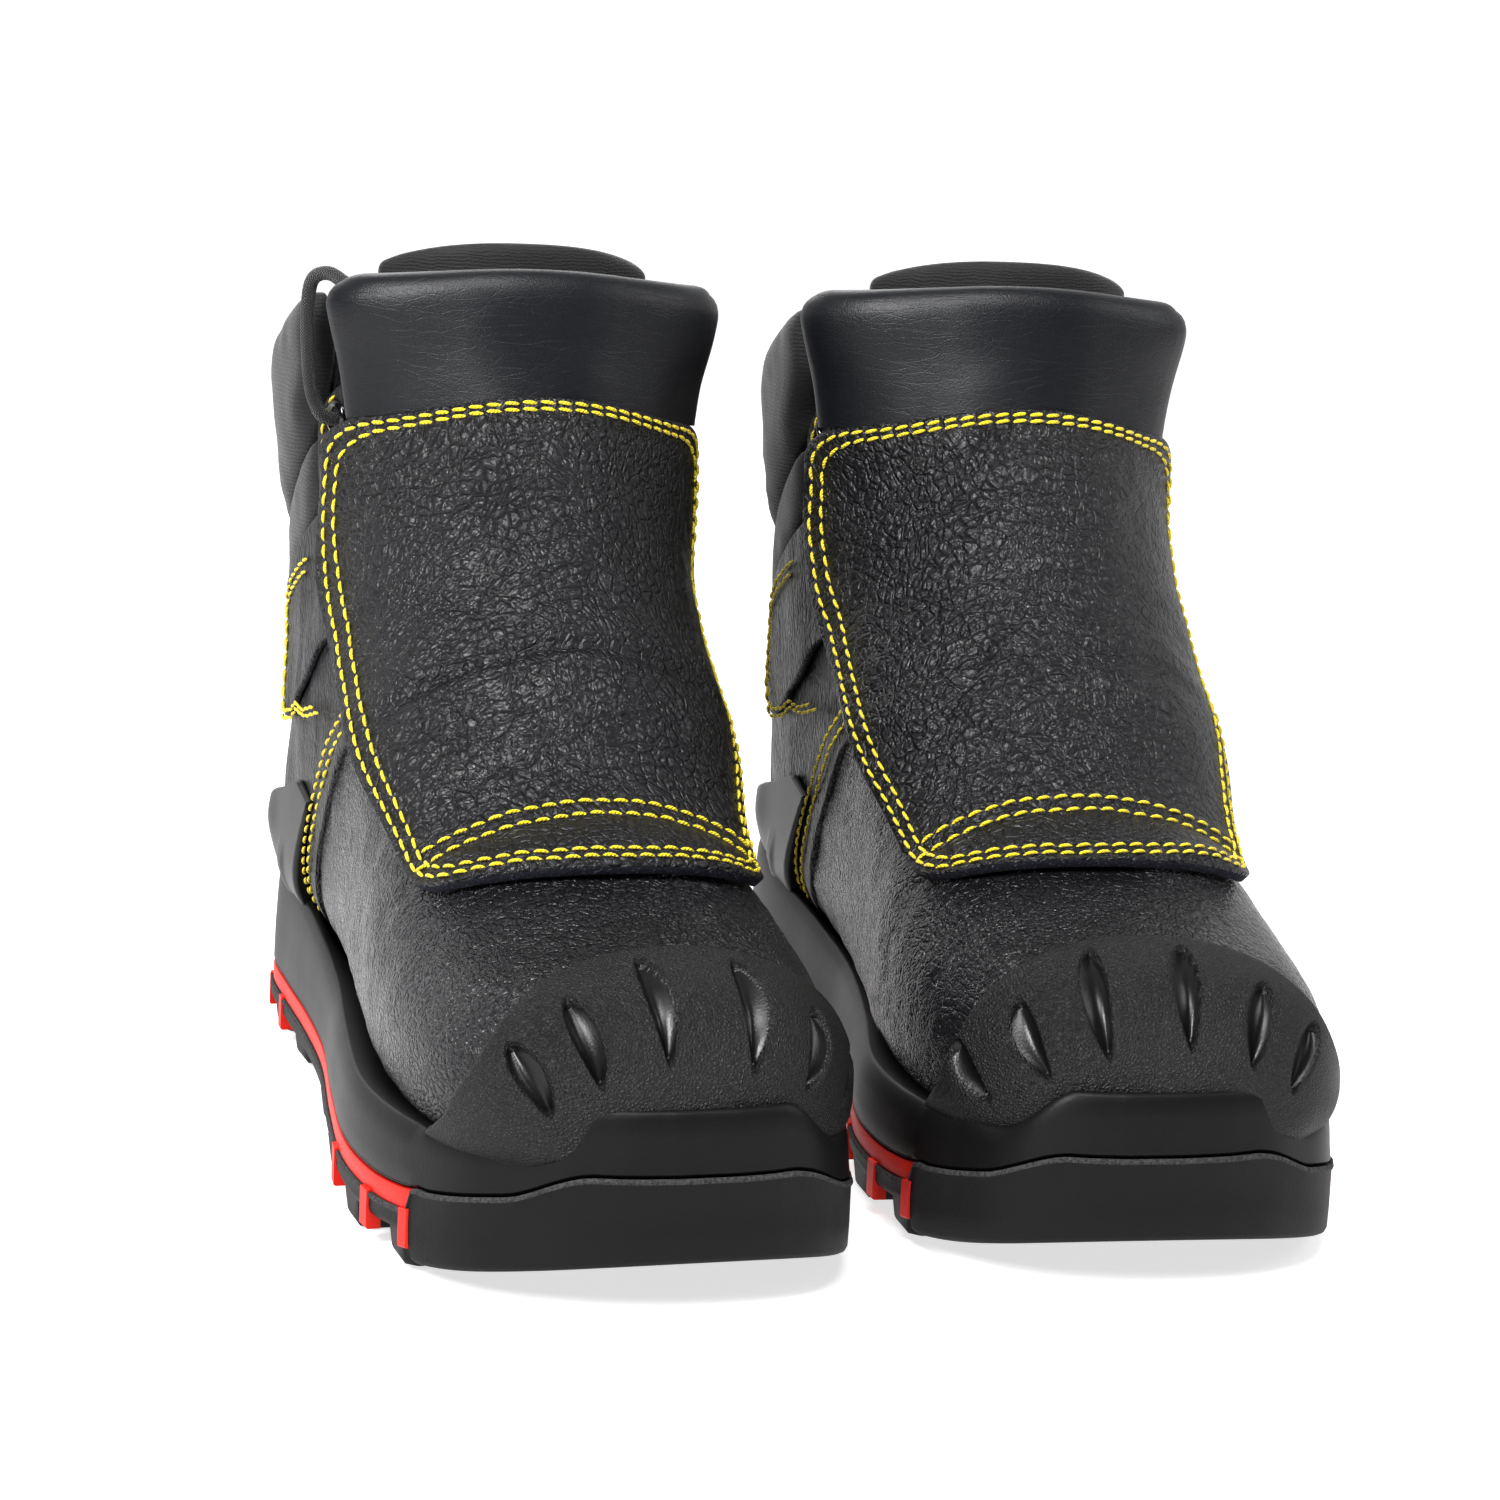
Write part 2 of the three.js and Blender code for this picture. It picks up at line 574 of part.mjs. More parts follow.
// Hook tape under the pad and loop tape on the tongue.
const tape = (low, s0, s1, half) =>
  layer((a, b) => [mix(s0, s1, a), mix(-half, half, b)], low, (s, t) => low(s, t) + TAPE, 2, 4);
const TAPE_TURN = 0.13;
const hookTape = () => tape((s, t) => padLow(s, t) - LAYER_GAP - TAPE, 13.3, 14, TAPE_TURN);
const loopTape = () => tape((s, t) => tongueHigh(s, t) + LAYER_GAP, 13.35, 13.95, TAPE_TURN);

// ---------------------------------------------------------------- eyelets and lace
const FLANGE = 0.5;
const FLANGE_SEAT = 0.6; // clearance under the flange, because the facing is curved
const HOLE_SIDES = 7;
const BORE_LENGTH = 16;
const eyeletSection = (n) => mix(8.5, 12.75, n / (EYELETS - 1));
const eyeletTurn = (n) => facing(eyeletSection(n)) + 0.047;

// Stands a geometry whose axis is Y in eyelet n's place.
function atEyelet(geometry, n, side) {
  const foot = upper(eyeletSection(n), side * eyeletTurn(n), 0);
  const axis = upper(eyeletSection(n), side * eyeletTurn(n), 1).sub(foot).normalize();
  geometry.applyQuaternion(new THREE.Quaternion().setFromUnitVectors(new THREE.Vector3(0, 1, 0), axis));
  geometry.translate(foot.x, foot.y, foot.z);
  return solidOf(geometry);
}
const bore = (radius) => new THREE.CylinderGeometry(radius, radius, BORE_LENGTH, HOLE_SIDES);

function eyestay(side) {
  let made = eyestayBlank(side);
  for (let n = 0; n < EYELETS; n++) made = made.subtract(atEyelet(bore(EYELET_HOLE + 1.3), n, side));
  return made;
}

function eyelets(side) {
  const low = -LEATHER - 3 * GAP - BACKING;
  const place = (a, b) => {
    const s = mix(8.1, 13, a);
    return [s, side * mix(facing(s) + 0.012, facing(s) + 0.085, b)];
  };
  let made = layer(place, low, low + BACKING, 6, 1);
  const top = LEATHER + FLANGE_SEAT;
  const profile = [
    [EYELET_HOLE, low],
    [EYELET_HOLE + 0.8, low],
    [EYELET_HOLE + 0.8, top],
    [EYELET_RADIUS, top],
    [EYELET_HOLE, top + FLANGE],
    [EYELET_HOLE, low],
  ].map(([radius, height]) => new THREE.Vector2(radius, height));
  for (let n = 0; n < EYELETS; n++) {
    const ring = new THREE.LatheGeometry(profile, HOLE_SIDES);
    made = made.subtract(atEyelet(bore(EYELET_HOLE), n, side)).add(atEyelet(ring, n, side));
  }
  return made;
}

// A round cord through a list of points.
function cord(points, radius, sides = 8) {
  const rings = [];
  let across = new THREE.Vector3(0, 0, 1);
  points.forEach((p, i) => {
    const ahead = points[Math.min(i + 1, points.length - 1)];
    const behind = points[Math.max(i - 1, 0)];
    const along = ahead.clone().sub(behind).normalize();
    across = across.clone().addScaledVector(along, -across.dot(along)).normalize();
    const up = along.clone().cross(across);
    rings.push(
      Array.from({ length: sides }, (_, k) => {
        const angle = (2 * Math.PI * k) / sides;
        const aside = across.clone().multiplyScalar(radius * Math.cos(angle));
        return p.clone().add(aside).addScaledVector(up, radius * Math.sin(angle));
      }),
    );
  });
  return loft(rings);
}

// The lace's route as [section, turn, height over the leather]. It zigzags up through the eyelets from a knot
// under the lowest inner one, and leaves the topmost outer one for its free end.
const LACE_OVER = LACE_DIAMETER / 2 + 1.1; // over the tongue
const LACE_ARCH = LEATHER + LACE_BOW + LACE_DIAMETER / 2; // over the facing's edge
const LACE_EXIT = LACE_ARCH - 2.3; // straight out of an eyelet
const LACE_UNDER = -LEATHER - BACKING - LACE_DIAMETER / 2 - 1.7; // between the facing and the tongue
const LACE_ACROSS = [0.62, 0.32, 0, -0.32, -0.62]; // share of the way out to the eyelets
const TOP_EYELET = EYELETS - 1;
function laceRoute(end) {
  const route = [];
  let side = -1;
  for (let n = 0; n < TOP_EYELET; n++) {
    const [s, t] = [eyeletSection(n), eyeletTurn(n)];
    const climb = [[t, LACE_UNDER], [t, LACE_EXIT], [t - 0.035, LACE_ARCH], [t - 0.08, LACE_EXIT]];
    for (const [turn, height] of climb) route.push([s, side * turn, height]);
    for (const k of LACE_ACROSS) route.push([s, side * t * k, LACE_OVER]);
    for (const [turn, height] of climb.toReversed()) route.push([s, -side * turn, height]);
    side = -side;
    route.push([mix(s, eyeletSection(n + 1), 0.4), side * mix(t, eyeletTurn(n + 1), 0.4), LACE_UNDER - 0.4]);
  }
  const [s, t] = [eyeletSection(TOP_EYELET), eyeletTurn(TOP_EYELET)];
  const rising = [[0.97, LACE_UNDER], [0.85, LACE_UNDER + 1.1], [0.7, LACE_OVER - 1.3]];
  for (const [k, height] of rising) route.push([s - 0.15, side * t * k, height]);
  for (const k of [0.4, 0, -0.4]) route.push([s - 0.1, side * t * k, LACE_OVER]);
  const falling = [...rising.slice(1).toReversed(), [0.93, LACE_UNDER + 0.1], [1, LACE_UNDER]];
  for (const [k, height] of falling) route.push([s, -side * t * k, height]);
  return [...route, [s, -side * t, LACE_EXIT], ...end];
}

// The free end goes back over the tongue, or makes a loop beside the pad first and then tucks in behind it.
const LACE_TUCKED = [
  [12.9, 0.345, 6.9], [13.05, 0.29, 4.2], [13.1, 0.2, 2.8], [13.1, 0.1, 2.7], [13.1, 0, 2.7], [13.1, -0.1, 2.7],
];
const LACE_LOOPED = [
  [13, 0.38, 7], [13.4, 0.382, 8.2], [14, 0.38, 8], [14.6, 0.375, 7.4], [15, 0.365, 6.2], [15, 0.34, 4.4],
  [14.7, 0.31, 3.6], [14.2, 0.27, 3], [13.7, 0.22, 2.8], [13.3, 0.18, 2.7], [13.1, 0.1, 2.7], [13.1, 0, 2.7],
];

// ---------------------------------------------------------------- one boot
function bootParts(laceEnd) {
  const body = upperSolid(HIDDEN_GAP);
  const guardRoom = guardSolid(-2, GUARD + 2 * LAYER_GAP, 0.15);
  const guardGap = (more) => guardSolid(HIDDEN_GAP - 3 * GAP, GUARD + 3 * GAP, more);
  const foot = [guardRoom, guardGap(0), guardGap(0.005), guardGap(0.02)].reduce((a, b) => a.add(b), body);
  const block = midsoleBlock(GAP);
  const vampRoom = layer(vampPlace(4 * SEAM), -LEATHER - 1, 1, 10, 12, { tip: true });
  const flap = flapBlank();
  return {
    outsole: [outsole(), "rubber"],
    sole_insert: [soleInsert(), "red"],
    midsole: [largest(midsoleBlock(0).subtract(foot)), "midsole"],
    toe_guard: [guardSolid(HIDDEN_GAP, GUARD, 0), "guard"],
    heel_stabiliser: [heelStabiliser(block), "moulding"],
    insole_plate: [footSheet(HIDDEN_GAP, INSOLE_PLATE, 9.5, 0.82), "board"],
    footbed: [footSheet(HIDDEN_GAP + INSOLE_PLATE + 3 * GAP, FOOTBED, 9.45, 0.8), "mesh"],
    toe_cap: [toeCap(), "cap"],
    heel_counter: [heelCounter(), "board"],
    vamp: [vamp(), "leather"],
    quarter_outer: [quarter(1, vampRoom), "leather"],
    quarter_inner: [quarter(-1, vampRoom), "leather"],
    panel_outer: [sidePanel(1), "leather"],
    panel_inner: [sidePanel(-1), "leather"],
    eyestay_outer: [eyestay(1), "leather"],
    eyestay_inner: [eyestay(-1), "leather"],
    eyelets_outer: [eyelets(1), "metal"],
    eyelets_inner: [eyelets(-1), "metal"],
    collar_lower: [collarBand(QUARTER_TOP, COLLAR_SPLIT - SEAM, 2.5), "microfibre"],
    collar_upper: [collarBand(COLLAR_SPLIT + SEAM, COLLAR_TOP, COLLAR_PUFF), "microfibre"],
    vamp_lining: [vampLining(), "mesh"],
    quarter_lining: [quarterLining(), "mesh"],
    tongue: [tongue(), "microfibre"],
    lace: [cord(laceRoute(laceEnd).map(([s, t, out]) => upper(s, t, out)), LACE_DIAMETER / 2), "lace"],
    flap: [hingeCut(flap, 1), "leather"],
    flap_lip: [hingeCut(flap, -1), "leather"],
    flap_pad: [flapPad(), "smooth"],
    hook_tape: [hookTape(), "mesh"],
    loop_tape: [loopTape(), "mesh"],
  };
}

const LOOKS = {
  rubber: { color: "#1c1c1d", roughness: 0.75 },
  midsole: { color: "#202021", roughness: 0.7 },
  guard: { color: "#252527", roughness: 0.8 },
  moulding: { color: "#1a1a1b", roughness: 0.6 },
  red: { color: "#d9322b", roughness: 0.6 },
  board: { color: "#6d6a62", roughness: 0.9 },
  cap: { color: "#8d9094", roughness: 0.4, metalness: 0.8 },
  metal: { color: "#101011", roughness: 0.25, metalness: 0.9 },
  leather: { color: "#1b1b1d", roughness: 0.5 },
  smooth: { color: "#17181a", roughness: 0.4 },
  microfibre: { color: "#222224", roughness: 0.8 },
  mesh: { color: "#0f0f10", roughness: 0.95 },
  lace: { color: "#121213", roughness: 0.85 },
};
const looks = Object.fromEntries(
  Object.entries(LOOKS).map(([name, look]) => [name, new THREE.MeshStandardMaterial(look)]),
);

function meshOf(name, made, look) {
  const { numProp, vertProperties, triVerts } = made.getMesh();
  const place = new Float32Array((vertProperties.length / numProp) * 3);
  for (let i = 0; i < place.length / 3; i++) {
    place.set(vertProperties.subarray(i * numProp, i * numProp + 3), i * 3);
  }
  const geometry = new THREE.BufferGeometry()
    .setAttribute("position", new THREE.BufferAttribute(place, 3))
    .setIndex(new THREE.BufferAttribute(new Uint32Array(triVerts), 1));
  const mesh = new THREE.Mesh(geometry, look);
  mesh.name = name;
  return mesh;
}

const BOOTS = [
  { side: "left", way: 1, yaw: LEFT_YAW, laceEnd: LACE_TUCKED },
  { side: "right", way: -1, yaw: RIGHT_YAW, laceEnd: LACE_LOOPED },
];
const pair = new THREE.Group();
for (const { side, way, yaw, laceEnd } of BOOTS) {
  const boot = new THREE.Group();
  for (const [name, [made, look]] of Object.entries(bootParts(laceEnd))) {
    boot.add(meshOf(`${side}_${name}`, made, looks[look]));
  }
  boot.scale.x = way;
  boot.rotation.z = THREE.MathUtils.degToRad(yaw);
  boot.position.set((way * BOOT_SPACING) / 2, (way * STAGGER) / 2, 0);
  pair.add(boot);
}
// The middle of the pair's bounding box stands over the origin.
const middle = new THREE.Box3().setFromObject(pair, true).getCenter(new THREE.Vector3());
pair.position.set(-middle.x, -middle.y, 0);
export default pair;
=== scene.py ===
import json
import math

import bmesh
import bpy
import numpy as np
from mathutils import Matrix, Vector


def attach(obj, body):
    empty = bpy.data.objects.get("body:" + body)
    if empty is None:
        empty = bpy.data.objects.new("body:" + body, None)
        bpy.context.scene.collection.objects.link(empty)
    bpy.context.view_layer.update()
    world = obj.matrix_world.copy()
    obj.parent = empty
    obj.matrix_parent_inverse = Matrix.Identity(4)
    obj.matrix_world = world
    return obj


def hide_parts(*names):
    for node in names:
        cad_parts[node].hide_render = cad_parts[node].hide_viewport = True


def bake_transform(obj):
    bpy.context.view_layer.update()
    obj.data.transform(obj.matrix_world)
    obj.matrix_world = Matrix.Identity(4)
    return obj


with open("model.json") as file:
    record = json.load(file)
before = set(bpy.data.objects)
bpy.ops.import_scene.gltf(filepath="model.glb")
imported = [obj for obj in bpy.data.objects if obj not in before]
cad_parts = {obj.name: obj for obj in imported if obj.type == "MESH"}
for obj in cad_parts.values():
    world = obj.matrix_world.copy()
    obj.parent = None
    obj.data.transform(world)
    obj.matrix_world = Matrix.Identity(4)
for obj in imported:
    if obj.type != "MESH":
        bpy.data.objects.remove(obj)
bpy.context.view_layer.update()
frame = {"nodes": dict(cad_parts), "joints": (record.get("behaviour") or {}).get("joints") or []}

# Looks for a pair of welder's safety boots. Shapes are worked out in each boot's own frame, in millimetres,
# with its outer side towards +X and its toes towards -Y, and are then put where that boot stands.
MM = 0.001

# ---- camera
CAMERA_TARGET = Vector((-0.0052, -0.0002, 0.0993))
CAMERA_AZIMUTH = math.radians(-13.74)
CAMERA_HEIGHT = math.radians(9.5)
CAMERA_ROLL = math.radians(2.77)
CAMERA_DISTANCE = 0.9651
CAMERA_LENS = 89.55
CAMERA_SENSOR = 36
CAMERA_REACH = 20

away = Vector((
    math.sin(CAMERA_AZIMUTH) * math.cos(CAMERA_HEIGHT),
    -math.cos(CAMERA_AZIMUTH) * math.cos(CAMERA_HEIGHT),
    math.sin(CAMERA_HEIGHT),
))
right = (-away).cross(Vector((0, 0, 1))).normalized()
up = away.cross(right).normalized()
camera = bpy.data.objects.new("camera", bpy.data.cameras.new("camera"))
camera.data.lens = CAMERA_LENS
camera.data.sensor_width = CAMERA_SENSOR
camera.data.clip_end = CAMERA_REACH
turned_right = right * math.cos(CAMERA_ROLL) + up * math.sin(CAMERA_ROLL)
turned_up = away.cross(turned_right).normalized()
axes = Matrix((turned_right, turned_up, away)).transposed().to_4x4()
camera.matrix_world = Matrix.Translation(CAMERA_TARGET + away * CAMERA_DISTANCE) @ axes
bpy.context.scene.collection.objects.link(camera)
bpy.context.scene.camera = camera

# ---- shape of the upper, as in the CAD
BOOT_LENGTH = 305
BOOT_WIDTH = 113
UPPER_HEIGHT = 179
SOLE_HEIGHT = 27
LEATHER = 2
LINING = 1.2
GUARD = 3.8
STABILISER = 3.6
FLAP = 3
FLAP_PAD = 8
LUG_DEPTH = 7
PLATE_TOP = 12
INSERT_BOTTOM = 12.3
INSERT_TOP = 17.3
MIDSOLE_BOTTOM = 17.6

# Sections from the toe's tip to the collar: front y and z and back y and z as shares of the boot's length and
# of the upper's height, outer and inner half widths as shares of the sole's width, level of the widest point,
# and how boxy the section is above it.
SECTIONS = np.array([
    (-0.479, 0.082, -0.479, 0.082, 0, 0, 0.4, 2.2),
    (-0.467, 0.164, -0.467, 0.022, 0.22, 0.205, 0.36, 2.3),
    (-0.443, 0.219, -0.443, 0.014, 0.338, 0.308, 0.34, 2.4),
    (-0.397, 0.257, -0.4, 0.005, 0.418, 0.382, 0.33, 2.4),
    (-0.331, 0.29, -0.331, 0, 0.46, 0.422, 0.33, 2.35),
    (-0.262, 0.333, -0.256, 0, 0.47, 0.432, 0.34, 2.25),
    (-0.197, 0.393, -0.164, 0, 0.458, 0.418, 0.36, 2.15),
    (-0.138, 0.475, -0.046, 0.005, 0.428, 0.38, 0.39, 2.1),
    (-0.089, 0.568, 0.092, 0.022, 0.398, 0.354, 0.42, 2.1),
    (-0.046, 0.672, 0.262, 0.044, 0.385, 0.35, 0.45, 2.1),
    (-0.013, 0.77, 0.407, 0.066, 0.388, 0.363, 0.47, 2.1),
    (0.01, 0.858, 0.459, 0.191, 0.376, 0.376, 0.48, 2.1),
    (0.026, 0.934, 0.456, 0.372, 0.381, 0.381, 0.5, 2.15),
    (0.039, 1.0, 0.436, 0.563, 0.389, 0.389, 0.5, 2.2),
    (0.049, 1.06, 0.42, 0.727, 0.407, 0.407, 0.5, 2.25),
    (0.056, 1.12, 0.413, 0.863, 0.425, 0.425, 0.5, 2.3),
])
LAST_SECTION = len(SECTIONS) - 1
FLOOR_SQUARE = 3.6
# Sections between which the flat underside gives way to the ankle's round back.
ANKLE_FROM = 9.5
ANKLE_TO = 11.5
FRONT_Y = SECTIONS[:, 0] * BOOT_LENGTH
FRONT_Z = SOLE_HEIGHT + SECTIONS[:, 1] * UPPER_HEIGHT
BACK_Y = SECTIONS[:, 2] * BOOT_LENGTH
BACK_Z = SOLE_HEIGHT + SECTIONS[:, 3] * UPPER_HEIGHT
OUTER = SECTIONS[:, 4] * BOOT_WIDTH
INNER = SECTIONS[:, 5] * BOOT_WIDTH
LEVEL = SECTIONS[:, 6]
SQUARE = SECTIONS[:, 7]


def mix(a, b, k):
    return a + (b - a) * k


def smooth(v, low, high):
    k = np.clip((np.asarray(v, float) - low) / (high - low), 0, 1)
    return k * k * (3 - 2 * k)


def bump(v, middle, width):
    """A round hill of height 1."""
    return np.exp(-(((np.asarray(v, float) - middle) / width) ** 2))


def power(v, n):
    return np.sign(v) * np.abs(v) ** n


def through(values, index):
    """A smooth curve through a row of numbers, at a fractional index."""
    values = np.asarray(values, float)
    index = np.clip(index, 0, len(values) - 1)
    i = np.minimum(np.floor(index).astype(int), len(values) - 2)
    k = index - i
    b, c = values[i], values[i + 1]
    a = np.where(i > 0, values[np.maximum(i - 1, 0)], 2 * b - c)
    d = np.where(i + 2 < len(values), values[np.minimum(i + 2, len(values) - 1)], 2 * c - b)
    return b + 0.5 * k * (c - a + k * (2 * a - 5 * b + 4 * c - d + k * (3 * (b - c) + d - a)))


def skin(s, t):
    """A point on the leather's outer face. Turn t is 0 in front, 0.5 on the outer side and 1 at the back."""
    angle = t * np.pi
    rising = np.cos(angle)
    lower = mix(FLOOR_SQUARE, through(SQUARE, s), smooth(s, ANKLE_FROM, ANKLE_TO))
    square = np.where(rising > 0, through(SQUARE, s), lower)
    side = np.maximum(0, np.where(np.sin(angle) > 0, through(OUTER, s), through(INNER, s)))
    level = through(LEVEL, s)
    along = level + np.where(rising > 0, 1 - level, level) * power(rising, 2 / square)
    return np.stack([
        side * power(np.sin(angle), 2 / square),
        mix(through(BACK_Y, s), through(FRONT_Y, s), along),
        mix(through(BACK_Z, s), through(FRONT_Z, s), along),
    ], -1)


def unit(v):
    return v / np.maximum(1e-9, np.linalg.norm(v, axis=-1, keepdims=True))


def upper(s, t, out=0.0):
    """A point on the leather's outer face at section s and turn t, moved out by some millimetres."""
    s, t, out = np.broadcast_arrays(*(np.asarray(v, float) for v in (s, t, out)))
    step = 0.02
    along = skin(np.minimum(s + step, LAST_SECTION), t) - skin(np.maximum(s - step, 0.01), t)
    around = skin(s, t + step / 2) - skin(s, t - step / 2)
    ahead = (1 - smooth(s, 0, 0.6))[..., None]
    normal = unit(unit(np.cross(around, along)) * (1 - ahead) + np.array([0, -1, 0]) * ahead)
    return skin(s, t) + normal * out[..., None]


# ---- noise
def lattice(ix, iy, iz, seed):
    h = ix * 73856093 ^ iy * 19349663 ^ iz * 83492791 ^ seed * 2654435761
    h = (h ^ (h >> 13)) * 1274126177 & 0xFFFFFFFF
    return ((h ^ (h >> 16)) & 0xFFFF) / 32767.5 - 1


def noise(points, size, seed=0):
    """Smooth noise from -1 to 1 over points in millimetres; size is the width of its features."""
    q = points / size + 1000
    base = np.floor(q).astype(np.int64)
    k = q - base
    k = k * k * (3 - 2 * k)
    total = 0
    for corner in range(8):
        dx, dy, dz = corner & 1, corner >> 1 & 1, corner >> 2
        weight = 1
        for axis, d in enumerate((dx, dy, dz)):
            weight = weight * (k[..., axis] if d else 1 - k[..., axis])
        total = total + weight * lattice(base[..., 0] + dx, base[..., 1] + dy, base[..., 2] + dz, seed)
    return total


# ---- materials
class Look:
    """A node material, with short calls for the nodes that the looks below share."""

    def __init__(self, name, color, roughness, **values):
        self.material = bpy.data.materials.new(name)
        self.material.use_nodes = True
        self.tree = self.material.node_tree
        self.shader = self.tree.nodes["Principled BSDF"]
        self.shader.inputs["Base Color"].default_value = (*color, 1)
        self.shader.inputs["Roughness"].default_value = roughness
        for key, value in values.items():
            self.shader.inputs[key.replace("_", " ")].default_value = value
        self.place = self.node("ShaderNodeTexCoord", {}, "Object")
        self.color = color

    def node(self, kind, inputs, output=0, **values):
        """Makes a node, sets or wires its inputs, and gives one of its outputs."""
        made = self.tree.nodes.new(kind)
        for key, value in values.items():
            setattr(made, key, value)
        for key, value in inputs.items():
            if isinstance(value, bpy.types.NodeSocket):
                self.tree.links.new(value, made.inputs[key])
            else:
                made.inputs[key].default_value = value
        return made.outputs[output]

    def wire(self, output, name):
        self.tree.links.new(output, self.shader.inputs[name])

    def stretch(self, scale, turn=(0, 0, 0), source=None):
        inputs = {"Vector": source or self.place, "Scale": scale, "Rotation": turn}
        return self.node("ShaderNodeMapping", inputs)

    def uv(self):
        return self.node("ShaderNodeUVMap", {}, uv_map="millimetres")

    def noise(self, scale, detail=3, vector=None, rough=0.55, output="Fac"):
        inputs = {"Vector": vector or self.place, "Scale": scale, "Detail": detail, "Roughness": rough}
        return self.node("ShaderNodeTexNoise", inputs, output)

    def warp(self, vector, scale, amount):
        """The coordinates, pushed about by noise."""
        centred = self.vector("SUBTRACT", self.noise(scale, 2, vector, 0.5, "Color"), (0.5, 0.5, 0.5))
        return self.vector("ADD", vector, self.vector("MULTIPLY", centred, (amount, amount, amount)))

    def vector(self, operation, a, b):
        return self.node("ShaderNodeVectorMath", {0: a, 1: b}, operation=operation)

    def math(self, operation, a, b, clamp=False):
        return self.node("ShaderNodeMath", {0: a, 1: b}, operation=operation, use_clamp=clamp)

    def total(self, *terms, clamp=False):
        """The sum of (value, share) terms."""
        (value, share), *rest = terms
        total = self.math("MULTIPLY", value, share, clamp and not rest)
        for n, (value, share) in enumerate(rest, 1):
            total = self.math("ADD", total, self.math("MULTIPLY", value, share), clamp and n == len(rest))
        return total

    def cells(self, scale, vector=None, feature="DISTANCE_TO_EDGE"):
        inputs = {"Vector": vector or self.place, "Scale": scale}
        return self.node("ShaderNodeTexVoronoi", inputs, "Distance", feature=feature)

    def waves(self, scale, vector, direction="X", distortion=0.0):
        inputs = {"Vector": vector, "Scale": scale, "Distortion": distortion}
        return self.node("ShaderNodeTexWave", inputs, "Fac", bands_direction=direction)

    def span(self, value, low, high, to_low=0.0, to_high=1.0):
        inputs = {"Value": value, "From Min": low, "From Max": high, "To Min": to_low, "To Max": to_high}
        return self.node("ShaderNodeMapRange", inputs)

    def relief(self, height, depth):
        """Bumps of a depth in millimetres."""
        inputs = {"Strength": 1, "Distance": depth * MM, "Height": height}
        self.wire(self.node("ShaderNodeBump", inputs), "Normal")

    def shade(self, value, low, high):
        """The base colour, from low to high times the look's own colour."""
        dark, light = ((*(min(1, c * k) for c in self.color), 1) for k in (low, high))
        mixed = self.node("ShaderNodeMix", {0: value, 6: dark, 7: light}, 2, data_type="RGBA")
        self.wire(mixed, "Base Color")

    def gloss(self, value, low, high):
        self.wire(self.span(value, 0, 1, low, high), "Roughness")


def leather(name, cell, stretch=(1, 1, 1), turn=(0, 0, 0), depth=0.42, low=0.25, high=0.5):
    """Grained leather: pebbles cell millimetres wide between creases, with finer grain and pores on them. Its
    base colour is painted shade: darker in the creases and lighter on the crests.
    """
    look = Look(name, (0.0075, 0.0075, 0.009), 0.45, Specular_IOR_Level=0.5)
    base = look.warp(look.warp(look.stretch(stretch, turn), 55, 0.008), 300, 0.0011)
    patches = look.noise(38, 2)
    pebbles = look.span(look.cells(1000 / cell, base), 0.0, 0.2)
    pebbles = look.math("MULTIPLY", pebbles, look.span(patches, 0.35, 0.65, 0.5, 1.0))
    fine = look.span(look.cells(2300 / cell, base), 0.0, 0.25)
    folds = look.span(look.cells(310 / cell, look.warp(base, 120, 0.006)), 0.0, 0.05)
    grain = look.noise(2600 / cell, 4, base)
    height = look.total((pebbles, 1), (fine, 0.26), (folds, 0.5), (grain, 0.36))
    look.relief(height, depth)
    # Painted shade: the base colour follows the grain's height, darker in the creases and lighter on the
    # pebbles' crests.
    look.shade(look.total((height, 0.6), clamp=True), 0.55, 1.7)
    look.gloss(look.total((patches, 0.6), (grain, 0.5), clamp=True), low, high)
    return look.material


def smooth_leather():
    look = Look("smooth satin leather", (0.006, 0.0065, 0.009), 0.42, Specular_IOR_Level=0.45)
    pores = look.span(look.cells(1500), 0, 0.3)
    creases = look.span(look.cells(240, look.warp(look.stretch((0.5, 0.5, 1.6)), 60, 0.02)), 0, 0.06)
    look.relief(look.total((look.noise(1900), 0.6), (pores, 0.4), (creases, 0.4)), 0.06)
    look.gloss(look.noise(45), 0.36, 0.5)
    look.shade(look.noise(30), 0.8, 1.35)
    return look.material


def raw_edge():
    """The cut edge of the leather: dyed dark blue, with pale fibres."""
    look = Look("raw leather edge", (0.012, 0.013, 0.022), 0.9)
    fibres = look.noise(1500, 5)
    look.relief(fibres, 0.5)
    look.shade(look.span(fibres, 0.58, 0.72), 1.0, 14.0)
    return look.material


# Length of one wave of a wave pattern at scale 1, in metres.
WAVE_LENGTH = 0.3185


def microfibre(name, color, rib, depth):
    """Cloth with fine ribs, rib millimetres apart, with painted shade in the grooves between them."""
    look = Look(name, color, 0.74, Sheen_Weight=0.25, Sheen_Roughness=0.45)
    base = look.warp(look.place, 320, 0.0016)
    ribs = look.waves(WAVE_LENGTH * 1000 / rib, base, "Z", 1.2)
    weave = look.cells(900, look.stretch((1, 1, 1.7), source=base))
    height = look.total((ribs, 0.55), (weave, 1.1), (look.noise(1400, 4), 0.6))
    look.relief(height, depth)
    # Painted shade: the base colour follows the height of the ribs and weave, darker in the grooves, with
    # random tone from the noise.
    look.shade(look.total((height, 0.7), clamp=True), 0.55, 1.6)
    look.gloss(look.noise(60), 0.62, 0.84)
    return look.material


